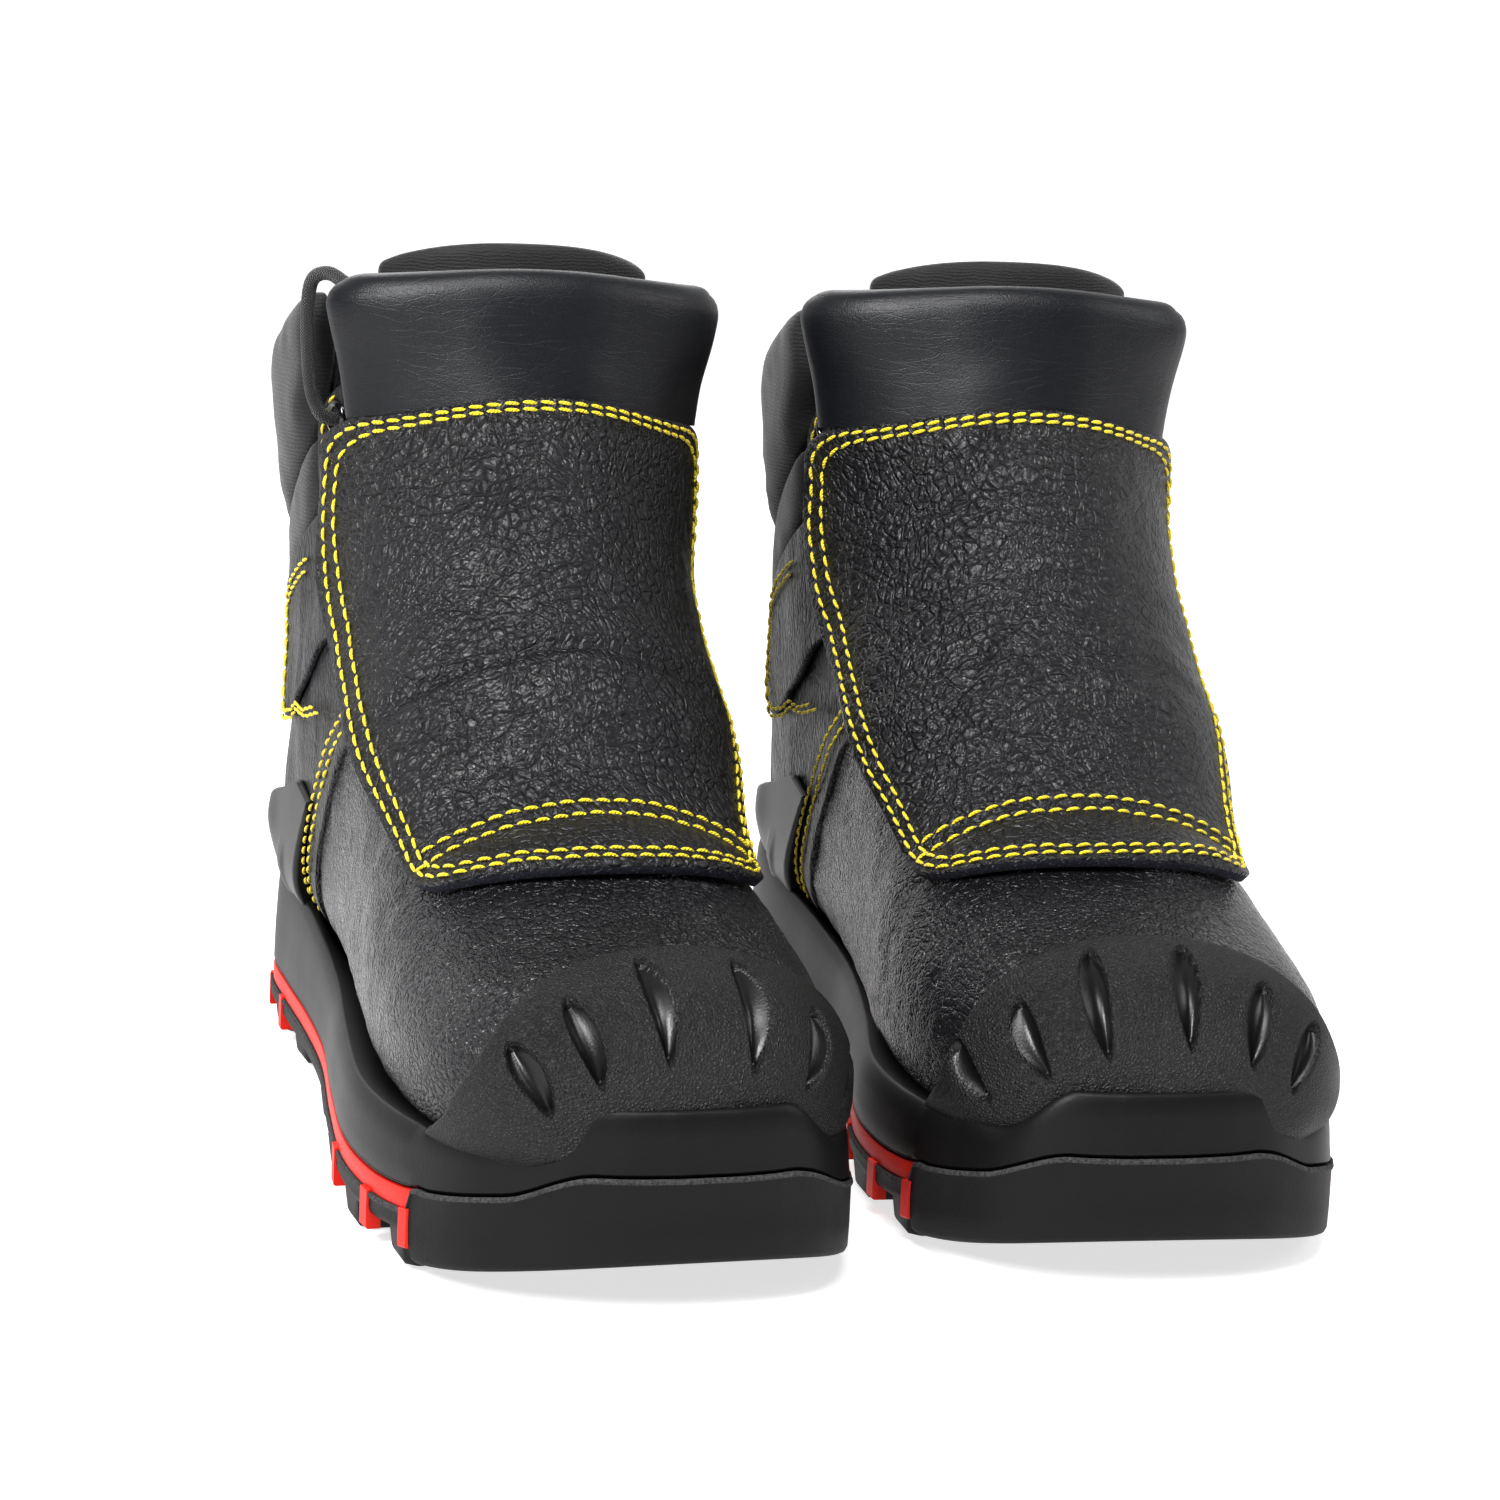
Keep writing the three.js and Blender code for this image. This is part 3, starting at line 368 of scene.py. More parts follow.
def mesh_cloth():
    """Spacer mesh: rows of small holes, made as dents, with painted shade in them."""
    look = Look("spacer mesh", (0.011, 0.011, 0.012), 0.92, Sheen_Weight=0.15)
    holes = look.span(look.cells(430, look.stretch((1, 1, 0.8)), "F1"), 0.2, 0.52)
    look.relief(look.total((holes, 1), (look.noise(2200), 0.25)), 0.5)
    # Painted shade: the holes get a dark base colour and the strands between them a light one.
    look.shade(holes, 0.25, 1.9)
    return look.material


def strands(look, scale, degrees):
    """Strands that run at an angle to the cord. The map runs along and round it."""
    return look.waves(scale, look.stretch((1, 1, 1), (0, 0, math.radians(degrees)), look.uv()))


def woven_lace():
    """A round braid: two sets of strands that cross over each other, with painted shade between them."""
    look = Look("woven lace", (0.0085, 0.0085, 0.0095), 0.82, Sheen_Weight=0.3)
    braid = look.math("MAXIMUM", strands(look, 0.5, 38), strands(look, 0.5, -38))
    look.relief(look.total((braid, 1), (look.noise(2600), 0.3)), 0.45)
    # Painted shade: the base colour is darker between the strands and lighter on them.
    look.shade(braid, 0.3, 2.0)
    return look.material


def thread():
    look = Look("yellow thread", (0.86, 0.68, 0.012), 0.55, Sheen_Weight=0.3)
    twist = strands(look, 0.42, 35)
    look.relief(twist, 0.22)
    # Painted shade between the twists of the strands, with random tone from the noise.
    look.shade(look.total((twist, 0.55), (look.noise(400, 2), 1), clamp=True), 0.55, 1.08)
    return look.material


def rubber(name, color, rough, grain, size, scuff=0.5):
    """Moulded rubber: fine spark texture, and slightly dusty patches."""
    look = Look(name, color, rough, Specular_IOR_Level=0.27)
    base = look.noise(size, 4, rough=0.7)
    pits = look.span(look.cells(size * 0.55, look.warp(look.place, size, 0.0006)), 0, 0.35)
    dust = look.noise(34, 5)
    look.relief(look.total((base, 0.7), (pits, 0.5)), grain)
    look.gloss(look.total((dust, scuff), (base, 0.3), clamp=True), rough - 0.14, rough + 0.16)
    look.shade(look.total((dust, 0.7), (base, 0.25), clamp=True), 0.6, 1.55)
    return look.material


def guard_rubber():
    """Sandy moulded rubber that is polished inside the scoops, where the map reads 1. The base colour follows
    the sand's height, with painted shade in its pits, and is darker inside the scoops, partly for the smoother
    rubber and partly as painted shade in the hollows.
    """
    look = Look("guard rubber", (0.0085, 0.0085, 0.009), 0.5, Specular_IOR_Level=0.42)
    polished_and_shaded = look.node("ShaderNodeSeparateXYZ", {0: look.uv()}, "X")
    sand = look.total((look.noise(1500, 4, rough=0.7), 1), (look.span(look.cells(1150), 0, 0.4), 1))
    rough = look.math("MULTIPLY", sand, look.span(polished_and_shaded, 0, 1, 1, 0.06))
    look.relief(rough, 0.26)
    look.gloss(look.total((polished_and_shaded, -0.5), (look.noise(60, 4), 1), clamp=True), 0.3, 0.62)
    # Painted shade: darker in the sand's pits and inside the scoops.
    look.shade(look.total((rough, 0.55), clamp=True), 0.7, 1.5)
    return look.material


def flash_rubber():
    """The rough line that a mould leaves where two halves meet."""
    look = Look("mould line", (0.05, 0.05, 0.052), 0.85)
    crumbs = look.noise(1300, 4, rough=0.75)
    look.relief(crumbs, 0.7)
    look.shade(look.span(crumbs, 0.35, 0.7), 0.2, 2.2)
    return look.material


def enamel():
    look = Look("black enamel", (0.004, 0.004, 0.005), 0.12, Coat_Weight=0.7, Coat_Roughness=0.05)
    look.gloss(look.noise(300), 0.1, 0.24)
    look.relief(look.noise(900), 0.01)
    return look.material


def pressed_steel():
    look = Look("pressed steel", (0.42, 0.43, 0.45), 0.35, Metallic=1.0)
    look.gloss(look.noise(500, 5, look.stretch((1, 6, 1))), 0.25, 0.5)
    look.relief(look.noise(700, 4), 0.03)
    look.shade(look.noise(50, 4), 0.8, 1.15)
    return look.material


def fibre_board():
    look = Look("fibre board", (0.30, 0.28, 0.24), 0.9)
    fibres = look.noise(900, 5, look.stretch((3, 1, 1)))
    look.relief(fibres, 0.15)
    look.shade(fibres, 0.6, 1.2)
    return look.material


def hook_and_loop():
    look = Look("hook and loop tape", (0.009, 0.009, 0.009), 0.9)
    hooks = look.cells(700, None, "F1")
    look.relief(look.total((hooks, 1), (look.noise(2500), 1)), 0.5)
    look.shade(hooks, 1.8, 0.5)
    return look.material


GRAIN = {
    "flap": leather("pebbled leather", 3.1, turn=(0.3, 0.5, 0.2), depth=0.5),
    "vamp": leather("fine grained leather", 2.0, stretch=(1, 0.8, 1), depth=0.36, low=0.14, high=0.36),
    "side": leather("long grained leather", 2.3, stretch=(1.5, 1.3, 0.42), depth=0.42),
}
PAD_LEATHER = smooth_leather()
EDGE = raw_edge()
COLLAR = microfibre("ribbed microfibre", (0.010, 0.010, 0.011), 1.15, 0.16)
TONGUE_CLOTH = microfibre("tongue microfibre", (0.013, 0.0125, 0.0125), 0.9, 0.12)
MESH = mesh_cloth()
LACE = woven_lace()
THREAD = thread()
OUTSOLE = rubber("outsole rubber", (0.006, 0.006, 0.0063), 0.6, 0.05, 1500)
MIDSOLE = rubber("midsole foam", (0.007, 0.007, 0.0076), 0.5, 0.03, 1300, 0.35)
GUARD_RUBBER = guard_rubber()
MOULDING = rubber("heel moulding", (0.009, 0.009, 0.010), 0.44, 0.03, 1400, 0.3)
RED = rubber("red rubber", (0.6, 0.022, 0.012), 0.5, 0.06, 1300, 0.3)
FLASH = flash_rubber()
ENAMEL = enamel()
STEEL = pressed_steel()
BOARD = fibre_board()
TAPE = hook_and_loop()


# ---- meshes
WELD = 0.002
# Angles in degrees that an edge is sharp from.
SHARP = 42
SHARP_SOFT = 60
SHARP_PAD = 70
SHARP_ROUND = 80


class Boot:
    """Where one boot stands. Its flap's hinge is HINGE_Y from its middle."""

    HINGE_Y = -69.87

    def __init__(self, side):
        hinge = next(j for j in frame["joints"] if j["name"] == f"{side}_flap_hinge")
        axis = hinge["axis"]
        self.side = side
        self.way = 1 if side == "left" else -1
        self.cos, self.sin = axis[0], axis[1]
        place = [v / MM for v in hinge["pos_m"]]
        self.x = place[0] + self.sin * self.HINGE_Y
        self.y = place[1] - self.cos * self.HINGE_Y

    def world(self, points):
        x = points[..., 0] * self.way
        y = points[..., 1]
        return np.stack([
            self.x + x * self.cos - y * self.sin,
            self.y + x * self.sin + y * self.cos,
            points[..., 2],
        ], -1) * MM


class Shape:
    """Points and faces in a boot's frame, gathered from several surfaces."""

    def __init__(self):
        self.points = []
        self.faces = []
        self.uvs = []
        self.looks = []
        self.count = 0

    def add(self, points, faces, uv=None, look=0):
        points = np.asarray(points, float).reshape(-1, 3)
        faces = np.asarray(faces, int)
        self.points.append(points)
        self.faces.append(faces + self.count)
        self.uvs.append(np.zeros((len(points), 2)) if uv is None else np.asarray(uv, float).reshape(-1, 2))
        self.looks.append(np.full(len(faces), look))
        self.count += len(points)

    def more(self, faces, look=0):
        """More faces on the points that are there already."""
        self.faces.append(np.asarray(faces, int))
        self.looks.append(np.full(len(faces), look))

    def mesh(self, boot, name, materials, sharp=SHARP):
        points = boot.world(np.concatenate(self.points))
        faces = np.concatenate(self.faces)
        if boot.way < 0:
            faces = faces[:, ::-1]
        mesh = bpy.data.meshes.new(name)
        mesh.vertices.add(len(points))
        mesh.vertices.foreach_set("co", points.ravel())
        mesh.loops.add(faces.size)
        mesh.loops.foreach_set("vertex_index", faces.ravel())
        mesh.polygons.add(len(faces))
        mesh.polygons.foreach_set("loop_start", np.arange(0, faces.size, 4))
        mesh.polygons.foreach_set("material_index", np.concatenate(self.looks))
        mesh.update(calc_edges=True)
        layer_uv = mesh.uv_layers.new(name="millimetres")
        layer_uv.data.foreach_set("uv", np.concatenate(self.uvs)[faces.ravel()].ravel())
        edit = bmesh.new()
        edit.from_mesh(mesh)
        bmesh.ops.remove_doubles(edit, verts=edit.verts, dist=WELD * MM)
        bmesh.ops.dissolve_degenerate(edit, edges=edit.edges, dist=WELD * MM)
        bmesh.ops.recalc_face_normals(edit, faces=edit.faces)
        for face in edit.faces:
            face.smooth = True
        limit = math.radians(sharp)
        for edge in edit.edges:
            if len(edge.link_faces) == 2 and edge.calc_face_angle(0) > limit:
                edge.smooth = False
        edit.to_mesh(mesh)
        edit.free()
        for material in materials:
            mesh.materials.append(material)
        made = bpy.data.objects.new(name, mesh)
        bpy.context.scene.collection.objects.link(made)
        return made


def grid_faces(rows, columns, ring=False, flip=False):
    """Quads of a grid of points, row by row. ring joins the last column to the first."""
    i = np.arange(rows - 1)[:, None]
    j = np.arange(columns if ring else columns - 1)[None, :]
    k = (j + 1) % columns
    quads = np.stack([i * columns + j, i * columns + k, (i + 1) * columns + k, (i + 1) * columns + j], -1)
    quads = quads.reshape(-1, 4)
    return quads[:, ::-1] if flip else quads


def shell(outside, inside, ring=False, edge_look=0):
    """A closed shell between two grids of points."""
    rows, columns = outside.shape[:2]
    points = np.concatenate([outside.reshape(-1, 3), inside.reshape(-1, 3)])
    half = rows * columns
    lengths = np.cumsum(np.linalg.norm(np.diff(outside, axis=0, prepend=outside[:1]), axis=-1), 0)
    widths = np.cumsum(np.linalg.norm(np.diff(outside, axis=1, prepend=outside[:, :1]), axis=-1), 1)
    uv = np.tile(np.stack([lengths, widths], -1).reshape(-1, 2), (2, 1))
    shape = Shape()
    faces = [grid_faces(rows, columns), grid_faces(rows, columns, flip=True) + half]
    shape.add(points, np.concatenate(faces), uv)
    index = np.arange(half).reshape(rows, columns)
    borders = [index[0, :], index[-1, ::-1]]
    if not ring:
        borders += [index[::-1, 0], index[:, -1]]
    for line in borders:
        shape.more(np.stack([line[:-1], line[:-1] + half, line[1:] + half, line[1:]], -1), edge_look)
    return shape


def spread(count, edge):
    """Steps from 0 to 1, close together within edge of each end."""
    close = edge * np.array([0, 0.05, 0.15, 0.32, 0.6, 1])
    middle = np.linspace(0, 1, count + 1)
    middle = middle[(middle > 1.4 * edge) & (middle < 1 - 1.4 * edge)]
    return np.concatenate([close, middle, 1 - close[::-1]])


def value(v, s, t):
    return v(s, t) if callable(v) else np.full(np.shape(s), float(v))


def border(points, ring=False, tip=False):
    """Each point's distance from the grid's nearest open edge, in millimetres."""
    down = np.linalg.norm(np.diff(points, axis=0), axis=-1)
    across = np.linalg.norm(np.diff(points, axis=1), axis=-1)
    zero_row = np.zeros((1, points.shape[1]))
    zero_column = np.zeros((points.shape[0], 1))
    top = np.concatenate([zero_row, np.cumsum(down, 0)])
    left = np.concatenate([zero_column, np.cumsum(across, 1)], 1)
    nearest = top[-1:] - top
    if not tip:
        nearest = np.minimum(nearest, top)
    if not ring:
        nearest = np.minimum(nearest, np.minimum(left, left[:, -1:] - left))
    return nearest


def layer(place, low, high, rows, columns, edge=0.03, radius=0.8, relief=None, ring=False, tip=False,
          edge_look=0):
    """A shell that follows the upper, with rounded edges. place(a, b) gives section and turn, and relief the
    height of its folds. ring says that it closes round the foot, and tip that it starts at the toe's tip."""
    a, b = np.meshgrid(spread(rows, edge), spread(columns, edge), indexing="ij")
    s, t = place(a, b)
    bottom, top = value(low, s, t), value(high, s, t)
    away_from_edge = border(upper(s, t, top), ring, tip)
    r = np.minimum(radius, (top - bottom) / 2)
    k = np.clip(away_from_edge / np.maximum(r, 1e-6), 0, 1)
    drop = r * (1 - np.sqrt(1 - (1 - k) ** 2))
    if relief is not None:
        top = top + relief(s, t, skin(s, t)) * smooth(away_from_edge, 0, 2.5)
    return shell(upper(s, t, top - drop), upper(s, t, bottom + drop * 0.5), ring, edge_look)


def rounded_square(a, b, start, end):
    """Moves a grid's corners in, so that its outline has round corners. a and b run from 0 to 1. start and
    end are the corner radii at a = 0 and a = 1, as shares of the half sides (along a, along b)."""
    u, v = 2 * a - 1, 2 * b - 1
    ra = np.where(u < 0, start[0], end[0])
    rb = np.where(u < 0, start[1], end[1])
    size = np.maximum(np.maximum(np.abs(u), np.abs(v)), 1e-9)
    p, q = np.abs(u) / size, np.abs(v) / size
    qa = (p / ra) ** 2 + (q / rb) ** 2
    qb = -2 * (p * (1 - ra) / ra**2 + q * (1 - rb) / rb**2)
    qc = ((1 - ra) / ra) ** 2 + ((1 - rb) / rb) ** 2 - 1
    k = (-qb + np.sqrt(np.maximum(qb**2 - 4 * qa * qc, 0))) / np.maximum(2 * qa, 1e-9)
    corner = (k * p > 1 - ra) & (k * q > 1 - rb) & (k < 1)
    k = np.where(corner, k, 1)
    k = 1 - (1 - k) * size**4
    return (u * k + 1) / 2, (v * k + 1) / 2


def finish_piece(boot, shape, name, materials, replaces=(), sharp=SHARP, body="boot"):
    made = shape.mesh(boot, f"{boot.side}_{name}", materials, sharp)
    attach(made, f"{boot.side}_{body}")
    if replaces:
        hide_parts(*(f"{boot.side}_{node}" for node in replaces))
    return made


# ---- stitches
STITCH = 4.5
STITCH_THICK = 0.5
STITCH_FILL = 0.86
STITCH_RINGS = 7
STITCH_SIDES = 8


def along_line(points):
    """The length along a row of points, from 0 at the first."""
    return np.concatenate([[0], np.cumsum(np.linalg.norm(np.diff(points, axis=0), axis=-1))])


def at_lengths(wanted, lengths, values):
    return np.stack([np.interp(wanted, lengths, column) for column in values.T], -1)


def stitch_row(shape, line, over):
    """Adds a row of lockstitches along line(k), k from 0 to 1, which gives section and turn. over is the
    height of the surface that it is sewn through."""
    s, t = line(np.linspace(0, 1, 900))
    height = value(over, s, t)
    points = upper(s, t, height)
    normals = unit(upper(s, t, height + 1) - points)
    lengths = along_line(points)
    count = max(2, int(round(lengths[-1] / STITCH)))
    at = (np.arange(count) + 0.5) * lengths[-1] / count
    half = STITCH_FILL / 2 * lengths[-1] / count
    middle = at_lengths(at, lengths, points)
    along = unit(at_lengths(at + half, lengths, points) - at_lengths(at - half, lengths, points))
    normal = unit(at_lengths(at, lengths, normals))
    side = np.cross(normal, along)
    u = np.linspace(-1, 1, STITCH_RINGS)
    radius = STITCH_THICK * np.sqrt(np.maximum(0.03, 1 - np.abs(u) ** 3.2))
    lift = 0.42 * (1 - u**2) - 0.12
    slant = 0.22 * u
    angle = np.arange(STITCH_SIDES) * 2 * np.pi / STITCH_SIDES
    ring_side = radius[:, None] * np.cos(angle) + slant[:, None]
    ring_up = radius[:, None] * np.sin(angle) * 0.9 + lift[:, None]
    ring_along = np.broadcast_to(u[:, None] * half, ring_side.shape)
    parts = [c[None, ..., None] * v[:, None, None, :] for c, v in (
        (ring_along, along), (ring_side, side), (ring_up, normal))]
    made = middle[:, None, None, :] + sum(parts)
    uv = np.stack(np.broadcast_arrays(u[:, None] * half, angle[None, :] * STITCH_THICK), -1).reshape(-1, 2)
    first = (np.arange(count) * STITCH_RINGS * STITCH_SIDES)[:, None, None]
    faces = first + grid_faces(STITCH_RINGS, STITCH_SIDES, True)[None]
    shape.add(made, faces.reshape(-1, 4), np.tile(uv, (count, 1)))


def polyline(corners):
    """A line through (section, turn) corners, by length in millimetres."""
    corners = np.asarray(corners, float)
    lengths = along_line(skin(corners[:, 0], corners[:, 1]))
    lengths /= lengths[-1]

    def line(k):
        return np.interp(k, lengths, corners[:, 0]), np.interp(k, lengths, corners[:, 1])

    return line


# ---- upper's pieces
THROAT = 7.6
QUARTER_TOP = 12
EYESTAY_TOP = 13.2
COLLAR_SPLIT = 12.95
COLLAR_TOP = 15
COLLAR_FRONT = 0.39
FOOT_TURN = 0.84
FOOTBED_FOOT = 7.9
FOOTBED_TOP = 3.9
COLLAR_STEPS = 44


def facing(s):
    return mix(0.1, 0.325, smooth(s, THROAT, 12.6))


def eyestay_back(s):
    return facing(s) + 0.11


def vamp_end(t):
    return mix(THROAT, 8.9, smooth(np.abs(t), 0.2, 0.45))


def wrinkles(points, size, amount, seed):
    """Long soft folds: noise that is drawn out across the foot."""
    stretched = points * np.array([0.45, 1.0, 1.0])
    fold = noise(stretched, size, seed)
    return amount * (0.7 * fold + 0.3 * (1 - 2 * np.abs(noise(stretched, size * 0.6, seed + 5))))


def vamp(boot):
    def place(a, b):
        t = mix(-FOOT_TURN, FOOT_TURN, b)
        return a * vamp_end(t), t

    def relief(s, t, p):
        creased = smooth(s, 3.6, 6) * wrinkles(p, 9, 0.6, 3)
        return creased + 0.35 * noise(p, 22, 8) + 0.12 * noise(p, 4, 9)

    shape = layer(place, -LEATHER, 0, 170, 200, relief=relief, tip=True)
    finish_piece(boot, shape, "vamp_leather", [GRAIN["vamp"], EDGE], ["vamp"])


def quarter_line(side):
    """Gives the quarter's place(a, b), whose first row lies under the vamp's edge."""
    def turn(s, b):
        back = mix(FOOT_TURN, 0.994, smooth(s, 9, 10))
        return side * mix(eyestay_back(s) + 0.006, back, b)

    def place(a, b):
        start = np.full(np.shape(b), THROAT)
        for _ in range(8):
            start = vamp_end(turn(start, b))
        s = mix(start - 0.12, QUARTER_TOP + 0.05, a)
        return s, turn(s, b)

    return place


def quarter(boot, side, name):
    def relief(s, t, p):
        return 0.6 * noise(p, 20, 21) + 0.4 * noise(p * np.array([1, 1, 0.35]), 5, 22)

    def high(s, t):
        return 0.3 + 0.9 * (1 - smooth(s - vamp_end(t), 0.0, 0.35))

    shape = layer(quarter_line(side), -LEATHER, high, 110, 110, relief=relief)
    finish_piece(boot, shape, f"{name}_leather", [GRAIN["side"], EDGE], [name])


PANEL_TOP = 2.9


def panel(boot, side, name):
    def place(a, b):
        low = through([9.35, 9.55, 9.75, 10.15, 10.2, 10.45, 10.9], b * 6)
        high = through([11.55, 11.75, 11.9, 12.0, 12.05], b * 4)
        s = mix(low, high, a)
        return s, side * mix(eyestay_back(s) - 0.09, 0.585, b)

    def relief(s, t, p):
        return 0.5 * noise(p * np.array([1, 1, 0.3]), 5, 31) + 0.5 * noise(p, 16, 32)

    shape = layer(place, 1.0, PANEL_TOP, 90, 70, edge=0.05, relief=relief, edge_look=1)
    finish_piece(boot, shape, f"{name}_leather", [GRAIN["side"], EDGE], [name])


EYELETS = 5
EYELET_SIDES = 40
# Radius and height over the leather, once round an eyelet's rolled edge.
EYELET_PROFILE = ((2.3, -1.6), (2.6, 2.0), (2.9, 2.75), (3.5, 3.1), (4.2, 2.95), (4.7, 2.35), (4.75, 1.9),
                  (3.4, 1.7), (3.3, -1.6), (2.3, -1.6))


def eyelet_section(n):
    return mix(8.5, 12.75, n / (EYELETS - 1))


def eyelet_turn(n):
    return facing(eyelet_section(n)) + 0.047


def eyestay(boot, side, name):
    def place(a, b):
        a, b = rounded_square(a, b, (0.02, 0.2), (0.12, 0.9))
        s = mix(THROAT + 0.3, EYESTAY_TOP, a)
        return s, side * mix(facing(s), eyestay_back(s), b)

    def relief(s, t, p):
        return 0.25 * noise(p, 9, 41) + 0.15 * noise(p, 3, 42)

    shape = layer(place, -LEATHER, LEATHER, 130, 26, relief=relief, edge_look=1)
    finish_piece(boot, shape, f"{name}_leather", [GRAIN["side"], EDGE], [name])


def eyelets(boot, side, name):
    """Turned rings with rolled edges, and the dark hole inside each."""
    shape = Shape()
    angle = np.arange(EYELET_SIDES)[:, None] * 2 * np.pi / EYELET_SIDES
    for n in range(EYELETS):
        s, t = eyelet_section(n), side * eyelet_turn(n)
        foot = upper(s, t, 0)
        axis = unit(upper(s, t, 1) - foot)
        across = unit(np.cross(axis, [0, 0, 1]))
        round_it = np.cos(angle) * across + np.sin(angle) * np.cross(axis, across)
        rings = np.array([foot + axis * height + radius * round_it for radius, height in EYELET_PROFILE])
        shape.add(rings, grid_faces(len(rings), EYELET_SIDES, True))
    finish_piece(boot, shape, name, [ENAMEL], [name])


def lining_depth(s):
    cap = 3.6 * (1 - smooth(s, 4.5, 5.5))
    counter = 3.0 * smooth(s, 8.5, 9.5) * (1 - smooth(s, 11.4, 12.2))
    return LEATHER + 1.6 + cap + counter


def lining_front(s):
    return mix(eyestay_back(s), COLLAR_FRONT, smooth(s, EYESTAY_TOP, 14)) + 0.006


def lining_outside(s, t):
    return -lining_depth(s)


def lining_inside(s, t):
    return -lining_depth(s) - LINING


def linings(boot):
    def front_place(a, b):
        return a * (THROAT - 0.04), mix(-1, 1, b)

    def back_place(a, b):
        a, b = rounded_square(a, b, (0.02, 0.02), (0.14, 0.1))
        s = mix(THROAT + 0.04, COLLAR_TOP - 0.3, a)
        return s, mix(lining_front(s), 2 - lining_front(s), b)

    def bed_place(a, b):
        return mix(2.4, 9.45, a), mix(0.8, 1.2, b)

    front = layer(front_place, lining_inside, lining_outside, 60, 90, ring=True, tip=True)
    back = layer(back_place, lining_inside, lining_outside, 90, 150,
                 relief=lambda s, t, p: 0.3 * noise(p, 14, 51))
    bed = layer(bed_place, lambda s, t: lining_inside(s, t) - FOOTBED_FOOT,
                lambda s, t: lining_inside(s, t) - FOOTBED_TOP, 60, 40, radius=1.6,
                relief=lambda s, t, p: 0.5 * noise(p, 26, 52))
    for shape, name, node in ((front, "vamp_mesh", "vamp_lining"), (back, "quarter_mesh", "quarter_lining"),
                              (bed, "footbed_mesh", "footbed")):
        finish_piece(boot, shape, name, [MESH], [node])


def collar(boot, name, first, last, puff, top):
    """A padded band: a closed tube, drawn round the ankle, that is fat outside and flat inside."""
    a = np.arange(COLLAR_STEPS) / COLLAR_STEPS * 2 * np.pi
    b = spread(220, 0.035)
    from_end = np.minimum(b, 1 - b)
    ends = np.sqrt(np.clip(1 - (1 - np.clip(from_end / 0.03, 0, 1)) ** 2, 0.02, 1))
    corner = np.sqrt(np.clip(1 - (1 - np.clip(from_end / 0.045, 0, 1)) ** 2, 0, 1))
    angle, along = np.meshgrid(a, b, indexing="ij")
    end = np.broadcast_to(ends, angle.shape)
    middle, half = (first + last) / 2, (last - first) / 2
    s = middle + half * power(np.cos(angle), 0.62) * mix(0.72, 1, corner)
    outward = np.sin(angle)
    t = mix(lining_front(s), 2 - lining_front(s), along)
    p = skin(np.clip(s, 0, LAST_SECTION), t)
    swell = puff * (1 + 0.1 * noise(p, 18, 61)) + 0.35 * noise(p, 6, 62)
    outside = power(np.maximum(outward, 0), 0.7) * swell * end
    inside = -power(np.maximum(-outward, 0), 0.6) * (3.2 if top else 1.8) * end
    height = -0.4 + outside + inside
    points = upper(np.clip(s, 0, LAST_SECTION), t, height)
    size = len(b)
    shape = Shape()
    shape.add(points, grid_faces(COLLAR_STEPS, size), np.stack([s * 20, along * 200], -1))
    j = np.arange(size - 1)
    last = j + (COLLAR_STEPS - 1) * size
    shape.more(np.stack([last, last + 1, j + 1, j], -1))
    for column in (0, size - 1):
        line = np.arange(COLLAR_STEPS) * size + column
        there, back = line[:COLLAR_STEPS // 2], line[::-1][:COLLAR_STEPS // 2]
        shape.more(np.stack([there[:-1], there[1:], back[1:], back[:-1]], -1))
    made = finish_piece(boot, shape, f"{name}_padding", [COLLAR], [name], SHARP_SOFT)


# ---- tongue
TONGUE_TOP = 14.95


def tongue_waist(s):
    return 0.05 * smooth(s, 11, 12.2) * (1 - smooth(s, 13.1, 14))


def tongue_high(s, t):
    shoulder = facing(s) - 0.07 - tongue_waist(s)
    return -mix(1, 8.6, smooth(np.abs(t), shoulder, shoulder + 0.06))


def tongue(boot):
    def place(a, b):
        a, b = rounded_square(a, b, (0.02, 0.02), (0.16, 0.45))
        s = mix(THROAT + 0.04, TONGUE_TOP, a)
        return s, (2 * b - 1) * (facing(s) + 0.06 - tongue_waist(s))

    def low(s, t):
        return tongue_high(s, t) - mix(5.5, 3, smooth(np.abs(t), facing(s) - 0.07, facing(s)))

    def relief(s, t, p):
        return 0.5 * noise(p, 15, 71) - 0.7 * bump(s, 12.9, 0.09)

    shape = layer(place, low, tongue_high, 150, 110, radius=2.6, relief=relief)
    made = finish_piece(boot, shape, "tongue_padding", [TONGUE_CLOTH], ["tongue"],
                        SHARP_SOFT, "tongue")


# ---- flap
FLAP_SEAM = 5.6
FLAP_TURN = 0.32
FLAP_FOOT = 1.2
FLAP_STAND = 9.4
FLAP_STAND_SIDES = 3


def flap_front(t):
    return 4.7 + 0.9 * (t / FLAP_TURN) ** 2


def flap_top(t):
    return 11.35 + 1.15 * (t / FLAP_TURN) ** 2


def pad_top(t):
    return np.minimum(14.2 + 0.8 * (t / FLAP_TURN) ** 2, LAST_SECTION)


def flap_low(s, t):
    """The height of the flap's underside: at its seam it lies on the vamp, and above it clears the laces."""
    stand = FLAP_STAND + FLAP_STAND_SIDES * smooth(np.abs(t), 0.1, FLAP_TURN)
    return mix(FLAP_FOOT, stand, smooth(s, 5.7, 8))


def flap_place(a, b):
    t = (2 * b - 1) * FLAP_TURN * mix(0.93, 1.0, smooth(a, 0, 0.3)) - 0.008 * a
    return mix(flap_front(t), flap_top(t), a), t


